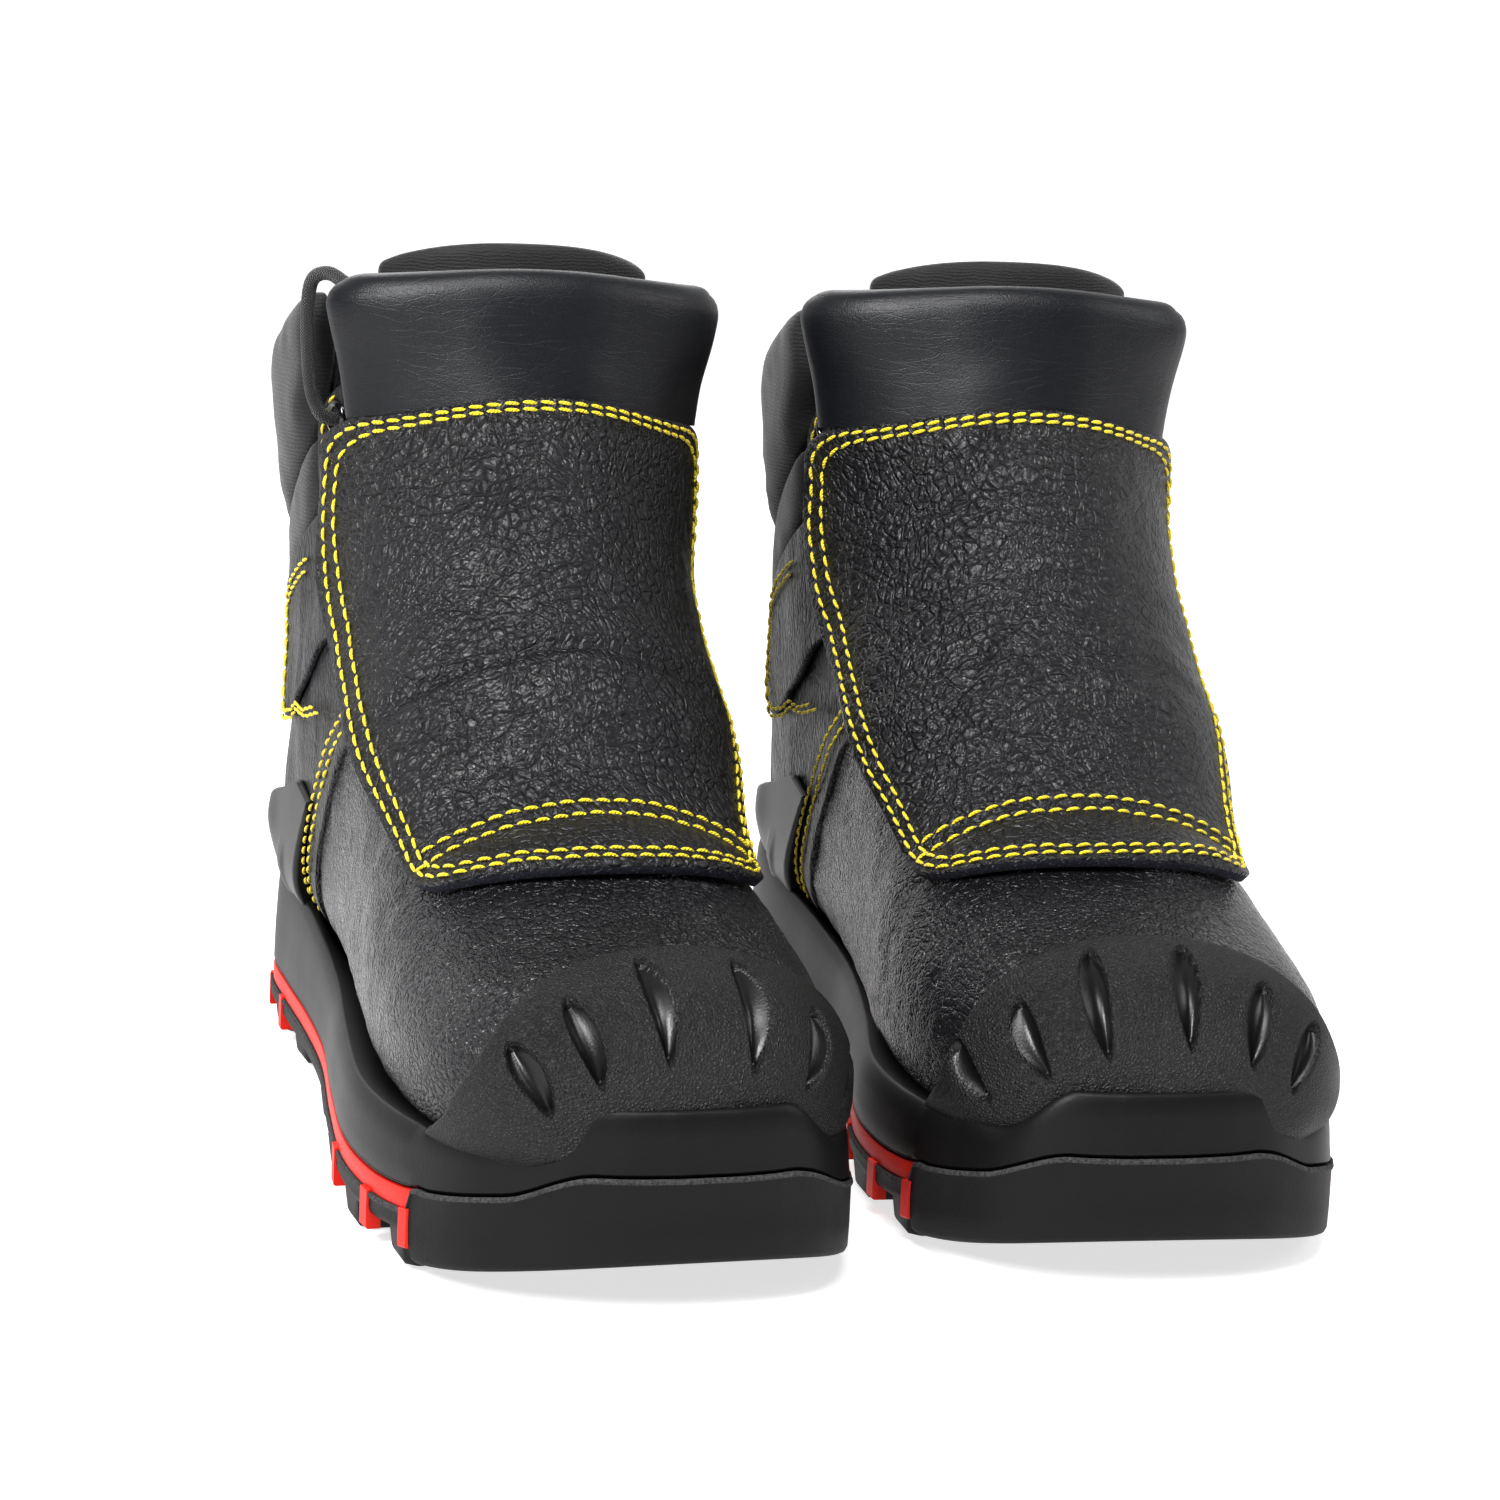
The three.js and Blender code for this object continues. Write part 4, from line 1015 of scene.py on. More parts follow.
FLAP_CORNERS = ((0.13, 0.2), (0.16, 0.26))
FLAP_HALF_LENGTH = 74
FLAP_HALF_WIDTH = 45
BEND_REACH = 7


def flap_relief(boot):
    seed = 80 if boot.side == "left" else 90

    def relief(s, t, p):
        across = 1 - smooth(np.abs(t), 0.16, 0.3)
        crease = 7.75 + 1.2 * t**2 * boot.way + 0.06 * noise(p, 12, seed)
        fold = (-1.5 * bump(s, crease, 0.11) + 1.3 * bump(s, 7.1, 0.5) + 0.7 * bump(s, 8.1, 0.25)) * across
        if boot.side == "left":
            fold = fold * 0.4 - 0.9 * bump(s - 9 * (t + 0.12), 7.6, 0.12) * bump(t, -0.12, 0.09)
        lens = 0.7 * bump(s, 5.1, 0.32) * (1 - smooth(np.abs(t), 0.12, 0.26))
        seam = -0.5 * bump(s, arc_section(t), 0.13) * (1 - smooth(np.abs(t), 0.27, 0.3))
        wavy = 0.75 * noise(p, 27, seed + 1) + 0.35 * noise(p * np.array([1, 0.6, 0.6]), 7, seed + 2)
        return fold + lens + seam + wavy + 0.16 * noise(p, 3.2, seed + 3)

    return relief


def arc_section(t):
    """The double seam that the flap bends at, from one lower corner to the other."""
    return 5.62 + 0.12 * (np.abs(t) / 0.27) ** 2


def flap_edge_line(inset):
    """A closed line that runs inset millimetres inside the flap's outline."""
    def line(k):
        angle = k * 2 * np.pi
        u, v = np.cos(angle), np.sin(angle)
        size = np.maximum(np.abs(u), np.abs(v))
        u, v = u / size, v / size
        a, b = rounded_square((u + 1) / 2, (v + 1) / 2, *FLAP_CORNERS)
        u = (2 * a - 1) * (1 - inset / FLAP_HALF_LENGTH)
        v = (2 * b - 1) * (1 - inset / FLAP_HALF_WIDTH)
        return flap_place((u + 1) / 2, (v + 1) / 2)

    return line


def flap(boot):
    relief = flap_relief(boot)
    place = lambda a, b: flap_place(*rounded_square(a, b, *FLAP_CORNERS))
    shape = layer(place, flap_low, lambda s, t: flap_low(s, t) + FLAP, 260, 190, edge=0.02, radius=0.7,
                  relief=relief, edge_look=1)
    made = shape.mesh(boot, f"{boot.side}_flap_leather", [GRAIN["flap"], EDGE])
    seams = Shape()

    def top(s, t):
        return flap_low(s, t) + FLAP + relief(s, t, skin(s, t))

    for inset in (2.4, 5.2):
        stitch_row(seams, flap_edge_line(inset), top)
    for shift in (0, 0.19):
        reach = 0.283 - 0.1 * shift
        stitch_row(seams, lambda k: (arc_section(mix(-reach, reach, k)) + shift, mix(-reach, reach, k)), top)
    sewn = seams.mesh(boot, f"{boot.side}_flap_stitching", [THREAD], SHARP_ROUND)
    start, end = bend_points(boot)
    for piece, slot in ((made, "grained_leather"), (sewn, "thread")):
        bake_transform(piece)
    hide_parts(f"{boot.side}_flap", f"{boot.side}_flap_lip")


def bend_points(boot):
    """Two points on the flap's middle, BEND_REACH millimetres before and after its hinge seam, in metres."""
    hinge = upper(FLAP_SEAM, 0, flap_low(FLAP_SEAM, 0) + FLAP)
    along = unit(upper(FLAP_SEAM + 0.05, 0, flap_low(FLAP_SEAM + 0.05, 0) + FLAP) - hinge)
    ends = boot.world(np.array([hinge - along * BEND_REACH, hinge + along * BEND_REACH]))
    return tuple(ends[0]), tuple(ends[1])


def flap_pad(boot):
    def pad_low(s, t):
        return flap_low(s, t) - mix(3.6, 1.5, smooth(np.abs(t), 0.1, 0.3))

    def place(a, b):
        a, b = rounded_square(a, b, (0.03, 0.01), (0.5, 0.2))
        t = mix(-0.325, 0.288, b) * mix(0.96, 1.03, a)
        return mix(flap_top(t) - 0.02, pad_top(t), a), t

    a, b = np.meshgrid(spread(90, 0.12), spread(150, 0.06), indexing="ij")
    s, t = place(a, b)
    low = pad_low(s, t)
    up_k, across_k = 2 * a - 1, 2 * b - 1
    round_top = np.clip(1 - np.maximum(up_k, 0) ** 5, 0, 1) ** 0.45
    round_foot = mix(0.58, 1, smooth(a, -0.1, 0.8))
    round_sides = np.clip(1 - np.abs(across_k) ** 16, 0, 1) ** 0.45
    p = skin(s, t)
    full = FLAP_PAD * 0.98 * round_top * round_foot * round_sides
    soft = (0.5 * noise(p, 24, 101) + 0.15 * noise(p, 8, 102)) * round_top * round_sides
    hollow = -0.8 * bump(across_k, -0.15, 0.5) * smooth(a, 0.1, 0.5)
    thick = np.maximum(full + soft + hollow * round_top, 0.05)
    belly = 1.2 * (1 - round_top * round_sides)
    shape = shell(upper(s, t, low + belly + thick), upper(s, t, low + belly))
    made = finish_piece(boot, shape, "flap_padding", [PAD_LEATHER], ["flap_pad"], SHARP_PAD,
                        "flap")


# ---- lace
LACE_RADIUS = 1.8
LACE_SIDES = 16
LACE_STEP = 0.9


def lace_points(boot):
    """The lace's route, as in the CAD: section, turn and height over the leather."""
    under, over, out, arch = -6.3, 2.9, 4.6, 6.9
    across = (0.62, 0.32, 0, -0.32, -0.62)
    route = []
    side = -1
    for n in range(EYELETS - 1):
        s, t = eyelet_section(n), eyelet_turn(n)
        climb = [(t, under), (t, out), (t - 0.035, arch), (t - 0.08, out)]
        route += [(s, side * turn, height) for turn, height in climb]
        route += [(s, side * t * k, over) for k in across]
        route += [(s, -side * turn, height) for turn, height in reversed(climb)]
        side = -side
        onward = side * mix(t, eyelet_turn(n + 1), 0.4)
        route.append((mix(s, eyelet_section(n + 1), 0.4), onward, under - 0.4))
    s, t = eyelet_section(EYELETS - 1), eyelet_turn(EYELETS - 1)
    route += [(s - 0.15, side * t * k, h) for k, h in ((0.97, under), (0.85, -5.2), (0.7, 1.6))]
    route += [(s - 0.1, side * t * k, over) for k in (0.4, 0, -0.4)]
    route += [(s, -side * t * k, h) for k, h in ((0.7, 1.6), (0.85, -5.2), (0.93, -6.2), (1, under))]
    route.append((s, -side * t, out))
    if boot.side == "left":
        route += [(12.9, 0.345, 6.9), (13.05, 0.29, 4.2)] + [(13.1, t, 2.7) for t in (0.2, 0.1, 0, -0.1)]
    else:
        route += [(13, 0.38, 7), (13.4, 0.382, 8.2), (14, 0.38, 8), (14.6, 0.375, 7.4), (15, 0.365, 6.2),
                  (15, 0.34, 4.4), (14.7, 0.31, 3.6), (14.2, 0.27, 3), (13.7, 0.22, 2.8), (13.3, 0.18, 2.7),
                  (13.1, 0.1, 2.7), (13.1, 0, 2.7)]
    s, t, height = np.array(route).T
    return upper(s, t, height)


def lace(boot):
    """A round cord on a smooth curve through its route's points."""
    points = lace_points(boot)
    index = np.linspace(0, len(points) - 1, len(points) * 14)
    curve = np.stack([through(column, index) for column in points.T], -1)
    lengths = along_line(curve)
    at = np.linspace(0, lengths[-1], max(4, int(lengths[-1] / LACE_STEP)))
    curve = at_lengths(at, lengths, curve)
    along = unit(np.gradient(curve, axis=0))
    across = np.zeros_like(curve)
    last = np.array([0, 0, 1.0])
    for i, direction in enumerate(along):
        last = unit(last - direction * np.dot(last, direction))
        across[i] = last
    other = np.cross(along, across)
    angle = np.linspace(0, 2 * np.pi, LACE_SIDES + 1)
    swell = LACE_RADIUS * np.sqrt(np.clip(np.minimum(at, at[-1] - at) / LACE_RADIUS, 0.001, 1))
    ring = curve[:, None] + swell[:, None, None] * (
        np.cos(angle)[None, :, None] * across[:, None] + np.sin(angle)[None, :, None] * other[:, None])
    shape = Shape()
    shape.add(ring, grid_faces(len(at), LACE_SIDES + 1),
              np.stack(np.broadcast_arrays(at[:, None], angle[None, :] * LACE_RADIUS), -1))
    finish_piece(boot, shape, "woven_lace", [LACE], ["lace"], SHARP_ROUND)


# ---- sole
STATIONS = np.array([
    (-0.5, 0.03, 0.1), (-0.493, 0.15, 0.2), (-0.472, 0.28, 0.31), (-0.425, 0.415, 0.4), (-0.335, 0.5, 0.465),
    (-0.22, 0.526, 0.474), (-0.08, 0.48, 0.4), (0.07, 0.415, 0.34), (0.2, 0.385, 0.345), (0.32, 0.37, 0.365),
    (0.41, 0.352, 0.35), (0.462, 0.29, 0.29), (0.49, 0.18, 0.18), (0.5, 0.05, 0.05),
])
LAST_STATION = len(STATIONS) - 1
# Height of the midsole's rim at each station.
RIM = [45.5, 45, 38, 34, 33, 33, 34, 36, 41, 47, 52, 55, 56, 56]


def sole_y(i):
    return through(STATIONS[:, 0] * BOOT_LENGTH, i)


def sole_outer(i):
    return through(STATIONS[:, 1] * BOOT_WIDTH, i)


def sole_inner(i):
    return through(STATIONS[:, 2] * BOOT_WIDTH, i)


def rise(y):
    """How far the sole lifts off the ground towards its toe and heel."""
    toe = np.clip((-0.28 - y / BOOT_LENGTH) / 0.22, 0, 1)
    heel = np.clip((y / BOOT_LENGTH - 0.42) / 0.08, 0, 1)
    return 11 * toe**2 + 5 * heel**2


def toe_zone(y):
    """1 where the outsole wraps up round the toe, and 0 behind."""
    return 1 - smooth(y / BOOT_LENGTH, -0.372, -0.362)


class Outline:
    """The sole's outline: points, outward normals, the station index of each, and a spine inside it."""

    def __init__(self, count=230):
        k = (1 - np.cos(np.linspace(0, np.pi, count))) / 2
        i = mix(np.linspace(0, 1, count), k, 0.55) * LAST_STATION
        tip = np.linspace(1, 0, 7)[1:-1]
        heel = np.linspace(0, 1, 5)[1:-1]
        x = np.concatenate([sole_outer(i), mix(sole_outer(LAST_STATION), -sole_inner(LAST_STATION), heel),
                            -sole_inner(i[::-1]), mix(sole_outer(0), -sole_inner(0), tip)])
        index = np.concatenate([i, np.full(len(heel), LAST_STATION), i[::-1], np.zeros(len(tip))])
        self.x, self.y, self.index = x, sole_y(index), index
        for _ in range(5):
            for key in ("x", "y"):
                v = getattr(self, key)
                setattr(self, key, (np.roll(v, 1) + 2 * v + np.roll(v, -1)) / 4)
        dx = np.roll(self.x, -1) - np.roll(self.x, 1)
        dy = np.roll(self.y, -1) - np.roll(self.y, 1)
        length = np.hypot(dx, dy)
        self.nx, self.ny = dy / length, -dx / length
        if np.sum(self.nx * self.x) < 0:
            self.nx, self.ny = -self.nx, -self.ny
        self.spine_x = (sole_outer(index) - sole_inner(index)) / 2
        self.spine_y = np.clip(sole_y(index), -125, 125)

    def ring(self, inset, z):
        inset = np.broadcast_to(inset, self.x.shape)
        z = np.broadcast_to(z, self.x.shape)
        return np.stack([self.x - inset * self.nx, self.y - inset * self.ny, z], -1)

    def spine(self, z):
        return np.stack([self.spine_x, self.spine_y, z + rise(self.spine_y)], -1)


OUTLINE = Outline()


def bands(shape, rings, looks=0):
    """Joins closed rings of points, from the first to the last."""
    rings = np.array(rings)
    count = rings.shape[1]
    around = np.linalg.norm(np.diff(rings[1], axis=0, prepend=rings[1][:1]), axis=-1).cumsum()
    uv = np.stack(np.broadcast_arrays(around[None, :], np.arange(len(rings))[:, None] * 2.0), -1)
    looks = np.repeat(np.broadcast_to(looks, len(rings) - 1), count)
    shape.add(rings, grid_faces(len(rings), count, True), uv, looks)


def front_plateau(x):
    return 1 - smooth(np.abs(x + 1), 22, 40)


def wrap_top():
    """The outsole wall's top edge: a raised stretch in front, lower shoulders, and the plate's edge behind."""
    o = OUTLINE
    toe = np.maximum(mix(PLATE_TOP + rise(o.y) + 5.4, 30.8, front_plateau(o.x)), 20)
    behind = PLATE_TOP + rise(o.y) + 0.4
    return mix(behind, toe, toe_zone(o.y))


BLOCK_WIDTH = 22
BLOCK_LENGTH = 17
BLOCK_CORNER = 2.2
BLOCK_BEVEL = 1.2
# A block's corners: way along its width, way along its length, and whether the corner is cut along its width.
BLOCK_CORNERS = ((1, -1, 1), (1, -1, 0), (1, 1, 0), (1, 1, 1),
                 (-1, 1, 1), (-1, 1, 0), (-1, -1, 0), (-1, -1, 1))
BLOCK_CAP = np.array([[0, 1, 6, 7], [1, 2, 5, 6], [2, 3, 4, 5]])


def block(shape, x, y, width, length, low):
    """A tread block with worn, rounded edges."""
    levels = [(BLOCK_BEVEL + 3.5, low), (BLOCK_BEVEL, low), (BLOCK_BEVEL * 0.3, low + BLOCK_BEVEL * 0.3),
              (0, low + BLOCK_BEVEL), (-0.8, low + LUG_DEPTH + 1), (BLOCK_BEVEL + 4, low + LUG_DEPTH + 1)]
    a, b, cut_width = np.array(BLOCK_CORNERS).T
    half_width = width / 2 - BLOCK_CORNER * cut_width
    half_length = length / 2 - BLOCK_CORNER * (1 - cut_width)
    rings = np.array([
        np.stack([x + a * (half_width - inset), y + b * (half_length - inset), np.full(len(a), z)], -1)
        for inset, z in levels])
    first = shape.count
    shape.add(rings, grid_faces(len(levels), len(BLOCK_CORNERS), True))
    for level in (0, len(levels) - 1):
        shape.more(BLOCK_CAP + first + level * len(BLOCK_CORNERS))


def tread(shape):
    """Pairs of blocks under the front and the heel, and smaller ones inside two of the front pairs."""
    rows = [(mix(3, 6.8, n / 4), 13, BLOCK_LENGTH, 0, n in (2, 4)) for n in range(5)]
    rows += [(mix(8.5, 10.8, n / 2), 14, BLOCK_LENGTH + 2, 0, False) for n in range(3)]
    rows[0] = (3, 24, BLOCK_LENGTH, 3.6, False)
    for i, inset, length, stand, small in rows:
        y = float(sole_y(i))
        low = float(rise(y)) + stand
        for edge, way in ((float(sole_outer(i)), 1), (float(sole_inner(i)), -1)):
            block(shape, way * (edge - inset), y, BLOCK_WIDTH, length, low)
            if small:
                block(shape, way * (edge - 36) * 0.7, y + 10, 15, 14, low)


def sole(boot):
    o = OUTLINE
    ground = rise(o.y)
    toe = toe_zone(o.y)
    top = wrap_top()
    outsole = Shape()
    foot = ground + mix(LUG_DEPTH, 0.2, toe)
    wobble = 0.12 * noise(o.ring(0, 0), 5, 110)
    bands(outsole, [
        o.spine(LUG_DEPTH), o.ring(9, ground + LUG_DEPTH), o.ring(3.4, foot + 0.1),
        o.ring(1.6, foot), o.ring(0.6, foot + 0.5), o.ring(0.15, foot + 1.5), o.ring(0, mix(foot, top, 0.4)),
        o.ring(0.1 + wobble, top - 1.5), o.ring(-0.25 + wobble, top - 1.0), o.ring(-0.35 + wobble, top - 0.4),
        o.ring(0.1 + wobble, top + 0.15), o.ring(1.4, top - 0.1), o.ring(3.2, top - 0.6),
        o.ring(3.6, np.minimum(top - 1, ground + PLATE_TOP)), o.spine(PLATE_TOP),
    ], [0] * 8 + [1] * 3 + [0] * 3)
    tread(outsole)
    finish_piece(boot, outsole, "outsole_rubber", [OUTSOLE, FLASH], ["outsole"])

    insert = Shape()
    inner = mix(0.5, 4, toe)
    bands(insert, [
        o.spine(INSERT_BOTTOM), o.ring(inner + 1, ground + INSERT_BOTTOM), o.ring(inner + 0.2, ground + 12.45),
        o.ring(inner, ground + 13), o.ring(inner, ground + 16.8), o.ring(inner + 0.2, ground + 17.15),
        o.ring(inner + 1, ground + INSERT_TOP), o.spine(INSERT_TOP),
    ])
    for start, end in INSERT_BARS:
        for way in (1, -1):
            insert_bar(insert, start, end, way)
    finish_piece(boot, insert, "insert_rubber", [RED], ["sole_insert"])

    midsole = Shape()
    inside = mix(0.8, 3.7, toe)
    wall = np.where(toe > 0.5, top + 0.5, MIDSOLE_BOTTOM + ground + 1.0)
    rim = through(RIM, o.index)
    rim = np.where(o.index < 3, mix(34.5, 45.5, front_plateau(o.x)), rim)
    rim = np.maximum(rim, wall + 4)
    set_in = mix(3, 2.2, toe)
    lip = mix(10, 2.5, smooth(o.y, 0, 70))
    bands(midsole, [
        o.spine(MIDSOLE_BOTTOM), o.ring(inside + 0.6, ground + MIDSOLE_BOTTOM),
        o.ring(inside, ground + MIDSOLE_BOTTOM + 0.3), o.ring(inside, wall - mix(0.4, 1.2, toe)),
        o.ring(mix(0.9, 1.4, toe), wall - 0.3), o.ring(0.5, wall + 0.5),
        o.ring(mix(0.7, 0.9, toe), mix(wall, rim, 0.3)), o.ring(1.2, mix(wall, rim, 0.6)),
        o.ring(mix(1.9, 1.6, toe), mix(wall, rim, 0.85)), o.ring(set_in, rim - 0.7), o.ring(set_in + 0.5, rim),
        o.ring(set_in + 1.3, rim + 0.2), o.ring(set_in + 1.3 + 0.3 * lip, rim - 0.1),
        o.ring(set_in + 1.3 + 0.7 * lip, rim - 1.0), o.ring(set_in + 1.3 + lip, rim - 4),
        o.ring(19, np.minimum(rim - 6, 26 + ground)),
        o.spine(26 - 0.8 * rise(o.spine_y)),
    ])
    finish_piece(boot, midsole, "midsole_foam", [MIDSOLE], ["midsole"])


# Stations that each of the insert's bars runs between, and a bar's outline: inset and height over the ground.
INSERT_BARS = ((3.68, 3.8), (4.36, 4.5), (5.3, 5.44), (9.0, 9.14), (10.15, 10.28))
BAR_OUTLINE = ((3.0, 3.6), (0.0, 3.6), (-0.45, 4.0), (-0.5, 8), (-0.5, 12.9), (3.0, 13.2))
BAR_POINTS = 5


def insert_bar(shape, start, end, way):
    """A short upright bar of the insert that shows between two tread blocks."""
    i = np.linspace(start, end, BAR_POINTS)
    edge = sole_outer(i) if way > 0 else -sole_inner(i)
    y = sole_y(i)
    rows = np.array([np.stack([edge - way * inset, y, rise(y) + z], -1) for inset, z in BAR_OUTLINE])
    index = np.arange(len(rows) * BAR_POINTS).reshape(len(rows), BAR_POINTS) + shape.count
    shape.add(rows, grid_faces(len(rows), BAR_POINTS, flip=way < 0))
    for line in (index[:, 0], index[:, -1]):
        shape.more([line[[0, 1, 4, 5]], line[[1, 2, 3, 4]]])
    shape.more(np.stack([index[0, :-1], index[0, 1:], index[-1, 1:], index[-1, :-1]], -1))


# Each scoop in the toe guard, from its upper end to its lower one: section, turn, section, turn.
SCOOPS = ((2.7, 0.035, 0.9, 0.05), (2.2, 0.185, 0.95, 0.29), (2.2, 0.343, 1.3, 0.455),
          (2.7, -0.095, 0.95, -0.21), (2.4, -0.285, 1.35, -0.4), (3.0, -0.43, 2.2, -0.51))
# Section that the guard ends at, from its inner side to its outer one.
GUARD_EDGE = [4.3, 3.5, 3.0, 2.95, 3.0, 3.05, 2.85, 2.6, 2.6, 3.3, 4.3]


def guard(boot):
    def place(a, b):
        k = 2 * b - 1
        s = a * through(GUARD_EDGE, b * (len(GUARD_EDGE) - 1))
        return s, k * mix(0.6, 0.72, smooth(s, 0.7, 2.6))

    def dents(p):
        deepest = 0
        for s0, t0, s1, t1 in SCOOPS:
            ends = upper([s0, s1], [t0, t1], GUARD)
            middle, half = ends.mean(0), np.linalg.norm(ends[1] - ends[0]) / 2
            axis = unit(ends[0] - ends[1])
            low, high = (upper((s0 + s1) / 2, (t0 + t1) / 2, out) for out in (GUARD, GUARD + 1))
            outward = unit(high - low)
            across_axis = np.cross(outward, axis)
            along = (p - middle) @ axis / half
            bow = 1.3 * (1 - along**2)
            room = np.clip(1 - along**2, 0, 1)
            width = 0.2 + 3.3 * room**0.8 * (1 + 0.25 * along)
            across = ((p - middle) @ across_axis - bow) / width
            near = np.abs((p - middle) @ outward) < 14
            lens = np.clip(1 - np.abs(across) ** 2.2, 0, 1) * np.clip(room * 3, 0, 1) * near
            deepest = np.maximum(deepest, lens * (1 - 0.55 * np.clip(across, -1, 1)))
        return deepest

    def relief(s, t, p):
        return -2.0 * dents(p) + 0.3 * noise(p, 30, 120)

    shape = layer(place, 0.6, GUARD, 190, 310, edge=0.02, radius=2.2, relief=relief, tip=True)
    # The map reads 1 inside the scoops: polished rubber there, with painted shade in the hollows.
    polish_and_shade = np.clip(dents(shape.points[0]) * 3, 0, 1)
    shape.uvs[0] = np.stack([polish_and_shade, polish_and_shade], -1)
    finish_piece(boot, shape, "toe_guard_rubber", [GUARD_RUBBER], ["toe_guard"])


def stabiliser(boot):
    def place(a, b):
        a, b = rounded_square(a, b, (0.02, 0.02), (0.9, 0.22))
        t = mix(0.52, 1.48, b)
        side = np.abs(t - 1) / 0.48
        return mix(9.2, mix(11.15, 9.85, side**1.7), a), t

    def relief(s, t, p):
        side = np.abs(t - 1)
        slot = -2.6 * (1 - smooth(np.abs(side - 0.285 + 0.02 * (s - 9.9)), 0.012, 0.026)) * \
            (1 - smooth(np.abs(s - 9.95), 0.22, 0.34))
        dome = 1.3 * bump(side, 0.36, 0.045) * bump(s, 10.1, 0.2)
        ledge = 0.7 * (1 - smooth(np.abs(s - 9.62), 0.03, 0.12)) * (1 - smooth(np.abs(side - 0.3), 0.03, 0.1))
        return slot + dome + ledge

    def high(s, t):
        return 1.2 + mix(1.3, STABILISER, smooth(0.48 - np.abs(t - 1), 0, 0.2))

    shape = layer(place, 0.4, high, 170, 260, edge=0.03, radius=1.8, relief=relief)
    finish_piece(boot, shape, "heel_moulding", [MOULDING], ["heel_stabiliser"])


# ---- seams on the boot itself
# The seam near the side panel's back edge: sections and turns.
PANEL_SEAM = np.array([(9.45, 0.445), (9.72, 0.475), (9.98, 0.492), (10.3, 0.515), (10.55, 0.545),
                       (10.98, 0.572), (11.4, 0.573), (11.82, 0.573), (11.78, 0.53), (11.62, 0.48),
                       (11.52, 0.455)])
PANEL_MIDDLE = np.array([10.75, 0.5])
STAY_SEAM = 0.022


def boot_seams(boot):
    shape = Shape()
    for side in (1, -1):
        for shrink in (1, 0.87):
            corners = PANEL_MIDDLE + (PANEL_SEAM - PANEL_MIDDLE) * shrink
            stitch_row(shape, polyline(corners * (1, side)), PANEL_TOP + 0.3)
        lower_stay = [(s, side * (float(eyestay_back(s)) - STAY_SEAM)) for s in (8.2, 8.8, 9.4)]
        upper_stay = [(s, side * (float(eyestay_back(s)) - STAY_SEAM)) for s in (11.95, 12.4, 12.8)]
        upper_stay += [(13.02, side * 0.395), (13.1, side * 0.372)]
        for stay in (lower_stay, upper_stay):
            stitch_row(shape, polyline(stay), LEATHER + 0.15)
        for shift in (0.1, 0.27):
            seam = [(float(vamp_end(t)) + shift, side * t) for t in np.linspace(0.36, 0.76, 9)]
            stitch_row(shape, polyline(seam), 1.15)
    finish_piece(boot, shape, "boot_stitching", [THREAD], (), SHARP_ROUND)


# ---- carried-over CAD nodes
CARRIED_OVER = {
    "toe_cap": STEEL,
    "heel_counter": BOARD,
    "insole_plate": BOARD,
    "hook_tape": TAPE,
    "loop_tape": TAPE,
}


def repaint(node, material):
    mesh = frame["nodes"][node].data
    mesh.materials.clear()
    mesh.materials.append(material)


for boot in (Boot("left"), Boot("right")):
    lace(boot)
    vamp(boot)
    for side, name in ((1, "outer"), (-1, "inner")):
        quarter(boot, side, f"quarter_{name}")
        panel(boot, side, f"panel_{name}")
        eyestay(boot, side, f"eyestay_{name}")
        eyelets(boot, side, f"eyelets_{name}")
    linings(boot)
    collar(boot, "collar_lower", QUARTER_TOP - 0.05, COLLAR_SPLIT, 3.2, False)
    collar(boot, "collar_upper", COLLAR_SPLIT - 0.03, COLLAR_TOP, 6.2, True)
    tongue(boot)
    flap(boot)
    flap_pad(boot)
    sole(boot)
    guard(boot)
    stabiliser(boot)
    boot_seams(boot)
    for node, material in CARRIED_OVER.items():
        repaint(f"{boot.side}_{node}", material)

# ---- floor and light
FLOOR_SIZE = 12
FLOOR_LEVEL = -0.0004
BRIGHTNESS = 0.84


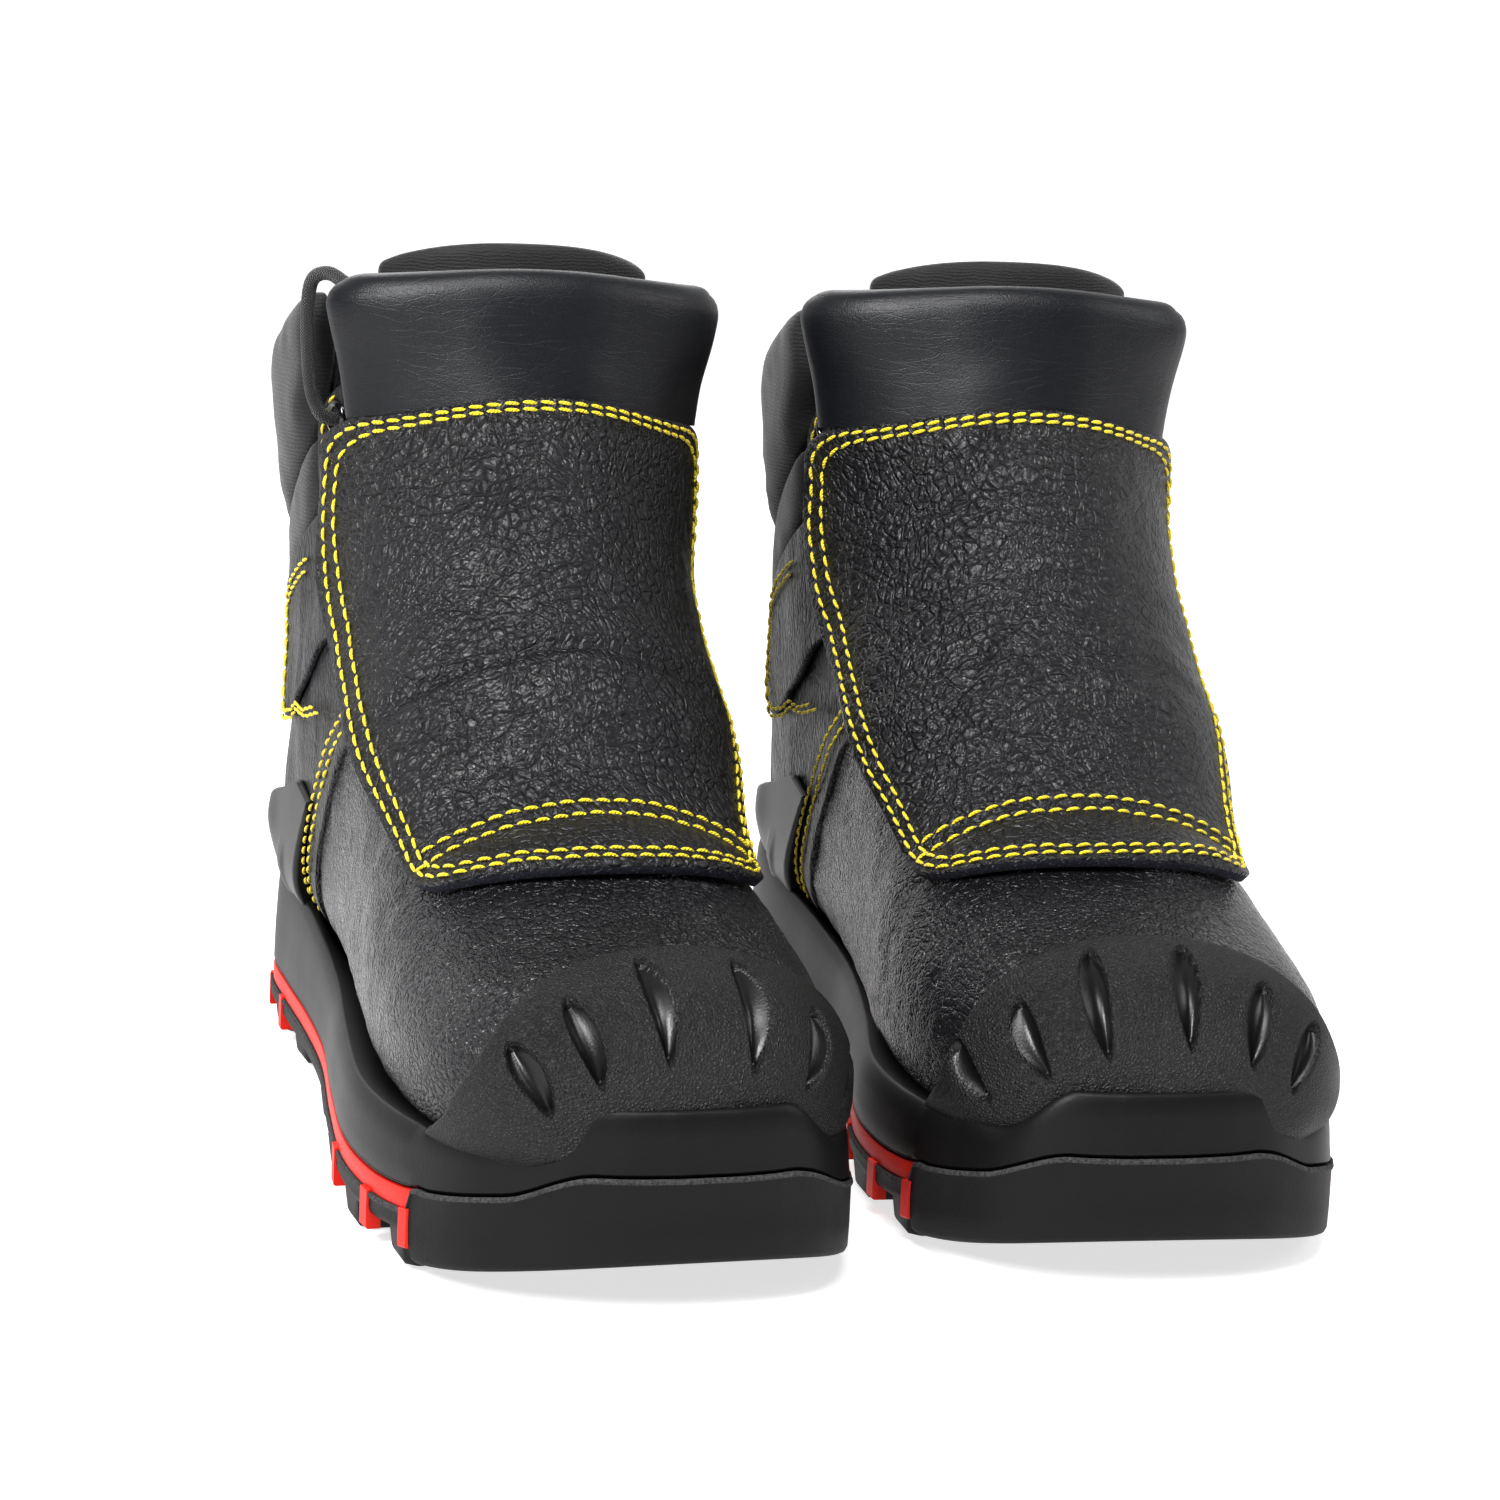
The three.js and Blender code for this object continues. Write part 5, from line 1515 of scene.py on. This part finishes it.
def flat_square(name, size, height):
    mesh = bpy.data.meshes.new(name)
    half = size / 2
    corners = [(x * half, y * half, height) for x, y in ((-1, -1), (1, -1), (1, 1), (-1, 1))]
    mesh.from_pydata(corners, [], [(0, 1, 2, 3)])
    made = bpy.data.objects.new(name, mesh)
    bpy.context.scene.collection.objects.link(made)
    return made


floor = flat_square("floor", FLOOR_SIZE, FLOOR_LEVEL)
paper = Look("white floor", (0.6, 0.6, 0.6), 0.75, Emission_Color=(1, 1, 1, 1), Emission_Strength=0.74,
             Specular_IOR_Level=0.1)
paper.relief(paper.noise(400, 2), 0.02)
floor.data.materials.append(paper.material)


def softbox(name, place, target, width, height, power_watts, shade=(1, 1, 1)):
    light = bpy.data.lights.new(name, "AREA")
    light.shape = "RECTANGLE"
    light.size, light.size_y = width, height
    light.energy = power_watts
    light.color = shade
    made = bpy.data.objects.new(name, light)
    direction = Vector(target) - Vector(place)
    made.location = place
    made.rotation_euler = direction.to_track_quat("-Z", "Y").to_euler()
    bpy.context.scene.collection.objects.link(made)


softbox("left softbox", (-1.1, -0.95, 1.15), (0, 0, 0.1), 0.4, 0.65, 36)
softbox("right softbox", (1.5, -0.2, 1.0), (0, 0, 0.1), 0.35, 0.9, 8)
softbox("top softbox", (-0.15, -0.75, 1.5), (0, -0.05, 0.05), 0.8, 0.4, 19)
softbox("back softbox", (0.0, 1.8, 1.3), (0, 0, 0.1), 1.4, 0.9, 12)
world = bpy.data.worlds.new("studio")
world.use_nodes = True
backdrop = world.node_tree.nodes["Background"]
backdrop.inputs[0].default_value = (1, 1, 1, 1)
direction = world.node_tree.nodes.new("ShaderNodeTexCoord")
split = world.node_tree.nodes.new("ShaderNodeSeparateXYZ")
fade = world.node_tree.nodes.new("ShaderNodeMapRange")
for key, level in (("From Min", 0.0), ("From Max", 0.8), ("To Min", 0.1), ("To Max", 1.25)):
    fade.inputs[key].default_value = level
world.node_tree.links.new(direction.outputs["Generated"], split.inputs[0])
world.node_tree.links.new(split.outputs["Y"], fade.inputs["Value"])
world.node_tree.links.new(fade.outputs["Result"], backdrop.inputs[1])
bpy.context.scene.world = world
bpy.context.scene.view_settings.view_transform = "Standard"
bpy.context.scene.view_settings.gamma = BRIGHTNESS
